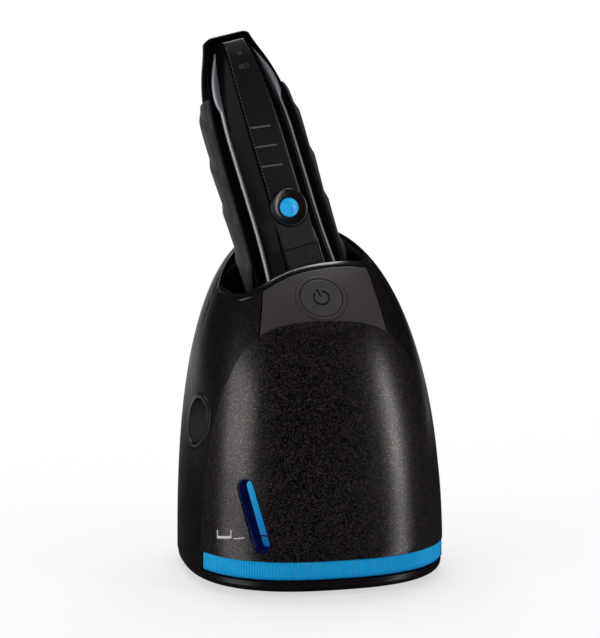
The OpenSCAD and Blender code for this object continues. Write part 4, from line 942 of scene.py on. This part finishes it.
def core_ring(w, shrink=1.0):
    first = -math.asin(min(1.0, (panel_seam * front_share(w) / core_size(w, 2)) ** 1.25))
    back = [core_point(midway(first, math.pi - first, i / 120), w) for i in range(121)]
    front = [back[-1].lerp(back[0], i / 12) for i in range(1, 12)]
    return [Vector((p.x * shrink, p.y * shrink, w)) for p in back + front]


core = Mould()
levels = [midway(handle_foot, handle_top, k / 110) for k in range(111)]
core.body([[docked(*p) for p in core_ring(w)] for w in levels])


def docked_hoop(u, w, r, depth, steps=96):
    """A ring on the shaver's front, so far in front of its axis."""
    return [docked(u + r * math.cos(math.tau * i / steps), -depth, w + r * math.sin(math.tau * i / steps))
            for i in range(steps)]


def docked_block(low, high):
    tool = Mould()
    block(tool, low, high)
    return [[docked(*p) for p in tool.points[:4]], [docked(*p) for p in tool.points[4:8]]]


switch_w, slider_w, slider_l, trimmer_run = 33.5 * mm, 44 * mm, 14 * mm, 9 * mm
slider_slot = cutter(docked_block((-6.3 * mm, 15 * mm, slider_w - trimmer_run - 0.3 * mm),
                                  (6.3 * mm, 20 * mm, slider_w + slider_l + 0.3 * mm)))
stem_hole = cutter([docked_hoop(0, switch_w, 2.7 * mm, d * mm, 48) for d in (3.7, 8.7)])
handle_black = moulded("handle_black", rgb(5, 5, 7), 0.2, relief=0.02, **{"Specular IOR Level": 0.08})
join(core.piece("handle_core", handle_black, bevel=0.3 * mm, cutters=[slider_slot, stem_hole]), "shaver",
     "shaver_handle", slot="handle_black")


# ---- Shaver front
# The glossy black cover of the shaver's front, with a satin strip down its middle. A dotted line
# runs down the strip's left edge, and three bars and two small signs are printed on it in grey.
strip_front, strip_half, flank_half = 17.8 * mm, 8.4 * mm, 16.2 * mm
flank_black = moulded("flank_black", rgb(6, 6, 8), 0.2, relief=0.0, **{"Specular IOR Level": 0.05})
strip_black = moulded("strip_black", rgb(22, 22, 25), 0.34, relief=0.03, **{"Specular IOR Level": 0.4})


def cover_side(w):
    """Half the front cover's outline at one level, from its back edge to the strip's edge."""
    k = front_share(w)
    fall = max(0.0, w - 112 * mm) / (14 * mm)
    strip = (strip_half + 1.6 * mm * max(0.0, min(1.0, (30 * mm - w) / (16 * mm)))) * (0.25 + 0.75 * k)
    flank = flank_half * k + 2.4 * mm * (max(0.0, 34 * mm - w) / (44 * mm)) ** 2
    front = -strip_front * (0.35 + 0.65 * k) + 3.2 * mm * fall * fall
    back = -panel_seam * k - 0.08 * mm
    side, shoulder = Vector((flank, back - 1.5 * mm)), Vector((strip + 0.8 * mm, front + 0.5 * mm))
    out = Vector((side.y - shoulder.y, shoulder.x - side.x)).normalized() * -0.35 * mm
    flanks = [side.lerp(shoulder, t) - out * math.sin(math.pi * t) for t in (0.15, 0.35, 0.55, 0.75, 0.9)]
    return [Vector((flank, back)), side] + flanks + [shoulder, Vector((strip, front))]


cover = Mould()
sides, strips = [], []
for k in range(121):
    w = midway(-7.5 * mm, shaver_top - 5 * mm, k / 120)
    half = cover_side(w)
    sides.append([docked(p.x, p.y, w) for p in reversed(half)] + [docked(-p.x, p.y, w) for p in half])
    strips.append([docked(midway(-half[-1].x, half[-1].x, i / 12), half[-1].y, w) for i in range(13)])
cover.patch(sides)
cover.patch(strips, slot=1)
cover.lid(sides[0] + strips[0][1:-1], turned=True)
cover.lid(sides[-1] + strips[-1][1:-1])
cover_cuts = [cutter(docked_block((-9.15 * mm, -21 * mm, -7.15 * mm), (9.15 * mm, -16.8 * mm, 13.15 * mm)))]
cover_cuts += [cutter([docked_hoop(0, switch_w, r * mm, depth * mm) for depth in depths])
               for r, depths in ((9.85, (15.6, 20.8)), (5.1, (14.8, 16)), (2.58, (7, 16)))]
for cut in cover_cuts:
    cut.data.materials.append(flank_black)
cover = cover.piece("shaver_cover", flank_black, strip_black, bevel=0.45 * mm, cutters=cover_cuts)
join(cover, "shaver", "shaver_front_panel", slot="panel_black")


def on_strip(u, w, gap):
    return docked(u, cover_side(w)[-1].y - gap, w)


sign_grey = rgb(58, 55, 54)
bars = [(-7.4 * mm, w * mm - 0.45 * mm, 3.5 * mm, w * mm + 0.45 * mm) for w in (76.5, 66.4, 56)]


def on_bars(u, w, gap):
    return on_strip(u, w - 0.12 * u, gap)


printed("charge_bars", rgb(84, 80, 78), "shaver", bars, on_bars)
battery = [(-2.9, 107.9, 2.3, 108.2), (-2.9, 109.9, 2.3, 110.2), (-2.9, 108.2, -2.6, 109.9),
           (2.0, 108.2, 2.3, 109.9), (2.3, 108.6, 2.8, 109.5),
           (-2.2, 108.5, -1.2, 109.6), (-0.8, 108.5, 0.2, 109.6)]
lock = [(-0.9, 115.2, 1.5, 117.0), (-0.5, 117.0, -0.2, 118.3), (0.8, 117.0, 1.1, 118.3),
        (-0.2, 118.0, 0.8, 118.3)]
printed("battery_sign", sign_grey, "shaver", [[v * mm for v in stroke] for stroke in battery], on_strip)
printed("lock_sign", rgb(42, 40, 40), "shaver", [[v * mm for v in stroke] for stroke in lock], on_strip)
dots = []
for k in range(46):
    w = 34 + k * 1.9
    x = -cover_side(w * mm)[-1].x / mm
    dots.append([v * mm for v in (x + 0.25, w, x + 0.55, w + 1.1)])
printed("dotted_line", rgb(92, 84, 74), "shaver", dots, on_strip)


# ---- Thumb saddle and pad
# Matte dark-grey rubber under the switch: a smooth saddle that wraps the ring, and a pad with fine
# knobs for the thumb.
def draw_pad(w):
    place = w.node("ShaderNodeTexCoord", outlet="Object")
    fine = w.node("ShaderNodeTexNoise", {}, {"Vector": place, "Scale": 4000.0, "Detail": 2.0})
    cloud = w.node("ShaderNodeTexNoise", {}, {"Vector": place, "Scale": 90.0})
    bump = w.node("ShaderNodeBump", {}, {"Strength": 0.2, "Distance": 0.05 * mm, "Height": fine})
    return {"Base Color": (cloud * 0.6 + fine * 0.4).blend(rgb(20, 21, 25), rgb(36, 38, 42)),
            "Roughness": (fine - 0.5) * 0.2 + 0.48,
            "Normal": bump, "Specular IOR Level": 0.35}


pad_grey = finish("pad_grey", draw_pad)
pad_low, pad_high = -7 * mm, 13 * mm


def knob(u, w):
    """Height of the pad's knobs, which stand in offset rows."""
    pitch = 1.25 * mm
    row = round(w / (pitch * 0.87))
    across = u / pitch - 0.5 * (row % 2)
    near = math.hypot((across - round(across)) * pitch, w - row * pitch * 0.87)
    return 0.3 * mm * max(0.0, 1 - (near / (0.48 * mm)) ** 2)


pad = Mould()
pad_rows = []
for k in range(134):
    w = midway(pad_low, pad_high, k / 133)
    edge = min(1.0, (w - pad_low) / (0.5 * mm), (pad_high - w) / (0.5 * mm))
    row = []
    for i in range(121):
        u = midway(-9 * mm, 9 * mm, i / 120)
        rim = min(edge, (9 * mm - abs(u)) / (0.5 * mm), 1.0)
        row.append((u, -strip_front - 0.02 * mm + 0.3 * mm * (1 - rim) ** 2
                    - (knob(u, w) if rim == 1 else 0), w))
    pad_rows.append(row)
pad.slab([[docked(*p) for p in row] for row in pad_rows],
         [[docked(u, -strip_front + 0.9 * mm, w) for u, _, w in row] for row in pad_rows])
join(pad.piece("thumb_knobs", pad_grey), "shaver", "thumb_pad", slot="pad_grey")

saddle = Mould()
saddle_rows = [[], []]
for k in range(25):
    rows = [[], []]
    for i in range(49):
        side = 2 * i / 48 - 1
        u = side * midway(8.6, 9.5, k / 24) * mm
        low = 13.2 * mm
        high = switch_w - math.sqrt(max(0.0, (10.1 * mm) ** 2 - u * u))
        w = midway(low, high, k / 24)
        hollow = 0.35 * mm * (1 - side * side)
        soft = 0.3 * mm * max(0.0, (abs(side) - 0.93) / 0.07) ** 2
        rows[0].append(docked(u, -strip_front - 0.42 * mm + hollow * 0.5 + soft, w))
        rows[1].append(docked(u, -strip_front + 0.1 * mm, w))
    for grid, row in zip(saddle_rows, rows):
        grid.append(row)
saddle.slab(*saddle_rows)
saddle = saddle.piece("thumb_saddle", pad_grey, bevel=0.1 * mm)
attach(saddle, "shaver")


# ---- Switch
# A dished glossy ring round a blue domed button.
def lathed(mould, w, section, steps=96, slot=0):
    """A turned part on the shaver's front. The section gives radius and distance before the axis."""
    mould.patch([docked_hoop(0, w, r * mm, depth * mm, steps) for r, depth in section], True, slot)


fit = 0.15
front_mm, half_ring, half_key = strip_front / mm, 9.7, 4.8
ring = Mould()
profile = [(half_key + fit, 15.7), (half_ring, 15.7), (half_ring, 18.7), (9.62, 18.95), (9.4, 19.12),
           (9.1, 19.18), (8.8, 18.95), (8.3, 18.72), (7.6, 18.4), (6.9, 18.15), (6.1, 17.95), (5.3, 17.86),
           (half_key + fit, 17.85), (half_key + fit, 15.7)]
lathed(ring, switch_w, profile)
ring_black = moulded("ring_black", rgb(14, 14, 16), 0.3, relief=0.0, **{"Specular IOR Level": 0.8})
join(ring.piece("switch_bezel", ring_black, corner=25), "shaver", "switch_ring", slot="control_grey")


def draw_key(w):
    place = w.node("ShaderNodeTexCoord", outlet="Object")
    cloud = w.node("ShaderNodeTexNoise", {}, {"Vector": place, "Scale": 260.0, "Detail": 2.0})
    return {"Base Color": cloud.between(0.35, 0.7).blend(rgb(0, 166, 250), rgb(50, 200, 255)),
            "Roughness": (cloud - 0.5) * 0.1 + 0.3,
            "Subsurface Weight": 0.2}


ball_top, ball_r = 4.6, 9.0


def dome_depth(r):
    """How far in front of the axis the dome lies, at radius r in mm."""
    return front_mm - 2 + ball_top - ball_r + math.sqrt(ball_r ** 2 - r ** 2)


key = Mould()
key_edge = [(half_key, dome_depth(half_key) - 0.12)]
key_edge += [(r, dome_depth(r)) for r in (half_key - 0.12, half_key - 0.24, 4.2, 3.6, 3.0, 2.3, 1.5, 0.7)]
lathed(key, switch_w, [(2.5, front_mm - 8), (2.5, front_mm - 1.95), (half_key, front_mm - 1.95)] + key_edge)
key.lid(docked_hoop(0, switch_w, 2.5 * mm, strip_front - 8 * mm), turned=True)
key.lid(docked_hoop(0, switch_w, 0.7 * mm, dome_depth(0.7) * mm))
join(key.piece("switch_dome", finish("key_blue", draw_key), corner=40), "switch_button", "switch_button",
     slot="switch_blue")


# ---- Silver trims
# A satin silver line along each edge of the front cover, which widens into a blade above the grip.
trim_silver = metal("trim_silver", rgb(166, 168, 174), 0.45, brushed=0.1, **{"Metallic": 0.75})


def trim_row(w):
    """The trim's section: it lies on the core, from the cover's edge outwards."""
    edge = cover_side(w)[0]
    blade = 2.3 * mm * math.sin(math.pi * min(1.0, max(0.0, (w - 90 * mm) / (30 * mm))) ** 0.8)
    wide = 1.7 * mm * min(1.0, max(0.12, (121 * mm - w) / (26 * mm))) + max(0.0, blade)
    turn = -math.asin(min(1.0, (panel_seam * front_share(w) / core_size(w, 2)) ** 1.25))
    room = core_point(turn, w).x - edge.x
    wide = min(wide, room - 0.2 * mm)
    x, y = edge.x + 0.1 * mm, edge.y - 0.02 * mm
    return [(x, y), (x, y - 1.75 * mm), (x + 0.25 * wide, y - 1.9 * mm),
            (x + 0.6 * wide, y - 1.65 * mm), (x + wide - 0.1 * mm, y - 1.0 * mm),
            (x + wide, y - 0.7 * mm), (x + wide, y)]


for side, node in ((-1, "trim_left"), (1, "trim_right")):
    trim = Mould()
    trim_levels = [midway(-7 * mm, 120 * mm, k / 140) for k in range(141)]
    rows = [[docked(side * x, y, w) for x, y in trim_row(w)][::side] for w in trim_levels]
    trim.body([row[::-1] for row in rows])
    join(trim.piece(node + "_line", trim_silver, corner=50), "shaver", node, slot="trim_silver")


# ---- Grips
# Soft matte rubber moulded over both sides of the core, cut in slanting facets.
def draw_rubber(w):
    place = w.node("ShaderNodeTexCoord", outlet="Object")
    fine = w.node("ShaderNodeTexNoise", {}, {"Vector": place, "Scale": 3500.0, "Detail": 3.0})
    cloud = w.node("ShaderNodeTexNoise", {}, {"Vector": place, "Scale": 60.0, "Detail": 2.0})
    bump = w.node("ShaderNodeBump", {}, {"Strength": 0.25, "Distance": 0.05 * mm, "Height": fine})
    return {"Base Color": (cloud * 0.7 + fine * 0.3).blend(rgb(26, 27, 31), rgb(42, 43, 48)),
            "Roughness": (fine - 0.5) * 0.15 + 0.55,
            "Normal": bump, "Specular IOR Level": 0.4, "Sheen Weight": 0.1}


grip_rubber = finish("grip_rubber", draw_rubber)
grip_low, grip_high = -7 * mm, 98 * mm


def facet(w, turn):
    """How far a facet of the grip stands out: it rises slowly and falls quickly along its length."""
    place = w / (24.2 * mm) - turn / 90 + 0.3
    part = place - math.floor(place)
    return 1.1 * mm * (part / 0.8 if part < 0.8 else (1 - part) / 0.2)


def grip_row(w, outer):
    row = []
    foot = max(0.0, min(1.0, (12 * mm - w) / (19 * mm))) ** 1.5
    first, last = midway(-20, 4, foot), midway(46, 22, foot)
    for i in range(61):
        turn = midway(first, last, i / 60)
        edge = min(1.0, min(i, 60 - i) / 10)
        end = math.sqrt(max(0.0, min(1.0, min(w - grip_low, grip_high - w) / (5 * mm))))
        swell = 0.6 * mm + (1.0 * mm + facet(w, turn)) * math.sin(math.pi / 2 * edge)
        stand = 0.05 * mm + swell * (0.35 + 0.65 * end) * outer
        row.append(core_point(math.radians(turn), w, stand))
    return row


for side, node in ((-1, "grip_left"), (1, "grip_right")):
    grip = Mould()
    levels = [midway(grip_low, grip_high, k / 200) for k in range(201)]
    faces = [[[docked(side * p.x, p.y, p.z) for p in grip_row(w, outer)][::side] for w in levels]
             for outer in (1, 0)]
    grip.slab(faces[0], faces[1])
    join(grip.piece(node + "_rubber", grip_rubber, bevel=0.15 * mm, corner=50), "shaver", node,
         slot="grip_rubber")


# ---- End cap
# A rounded black cap that closes the handle, with the charging socket and its two pins in it.
cap = Mould()
cap_levels = [(0.05, 1.0), (0.9, 0.985), (1.5, 0.955), (2.1, 0.9), (2.55, 0.83), (2.85, 0.76), (3.0, 0.7)]
cap.body([[docked(p.x, p.y, handle_top + up * mm) for p in core_ring(handle_top, shrink)]
          for up, shrink in cap_levels])
pill = []
for i in range(64):
    c, d = math.cos(math.tau * i / 64), math.sin(math.tau * i / 64)
    pill.append((math.copysign(1.7, c) + 2.5 * c, 1.5 + 2.5 * d))
socket = cutter([[docked(u * mm, v * mm, shaver_top + up * mm) for u, v in pill] for up in (-2.4, 3)])
join(cap.piece("end_cover", handle_black, bevel=0.1 * mm, cutters=[socket]), "shaver", "end_cap",
     slot="handle_black")


# ---- Shaving head
# A silver-grey frame with a floating cassette of two foils, which hangs in the bowl. The trimmer
# lies flat on the back and slides out for long hair.
rest_w, cassette_half = -24.5 * mm, 24 * mm


def head_ring(half_u, half_v, share, w):
    return [docked(half_u * share * rounded(math.cos(math.tau * i / 144), 2 / 0.7),
                   half_v * share * rounded(math.sin(math.tau * i / 144), 2 / 0.7), w) for i in range(144)]


head = Mould()
head.body([head_ring(cassette_half + 3.4 * mm, 15.8 * mm, share, w) for w, share in
           ((rest_w, 0.93), (rest_w + 0.4 * mm, 0.965), (rest_w + 1.5 * mm, 1), (rest_w + 5 * mm, 1),
            (-10 * mm, 0.97), (handle_foot - 0.1 * mm, 0.96))])
head_cuts = [cutter(docked_block((-14.4 * mm, 14.3 * mm, rest_w - mm),
                                 (14.4 * mm, 19.3 * mm, rest_w + 15 * mm))),
             cutter(docked_block((-10 * mm, -6 * mm, rest_w - mm), (10 * mm, 6 * mm, rest_w + 6 * mm)))]
head_silver = moulded("head_silver", rgb(142, 145, 150), 0.35, grain=0.1, relief=0.04, **{"Metallic": 0.6})
join(head.piece("head_shell", head_silver, bevel=0.2 * mm, cutters=head_cuts), "shaver", "head_frame",
     slot="head_silver")
dress(moulded("cassette_black", rgb(30, 30, 33), 0.4), "foil_cassette")
dress(moulded("slider_grey", rgb(64, 64, 69), 0.5), "trimmer_slider")
dress(metal("trimmer_steel", rgb(190, 194, 198), 0.28, brushed=0.3), "trimmer_blade")


def draw_foil(w):
    place = w.node("ShaderNodeTexCoord", outlet="Object")
    hole = w.node("ShaderNodeTexVoronoi", {"distance": "EUCLIDEAN"},
                  {"Vector": place, "Scale": 1 / (0.9 * mm), "Randomness": 0.15})
    # Painted shade: the holes are not cut; each is painted dark grey for the dim inside seen through it.
    open_ = hole < 0.3
    return {"Base Color": open_.blend(rgb(198, 202, 206), rgb(40, 40, 42)), "Metallic": 1.0 - open_ * 0.9,
            "Roughness": open_ * 0.3 + 0.25}


dress(finish("foil_steel", draw_foil), "shaver_foils")
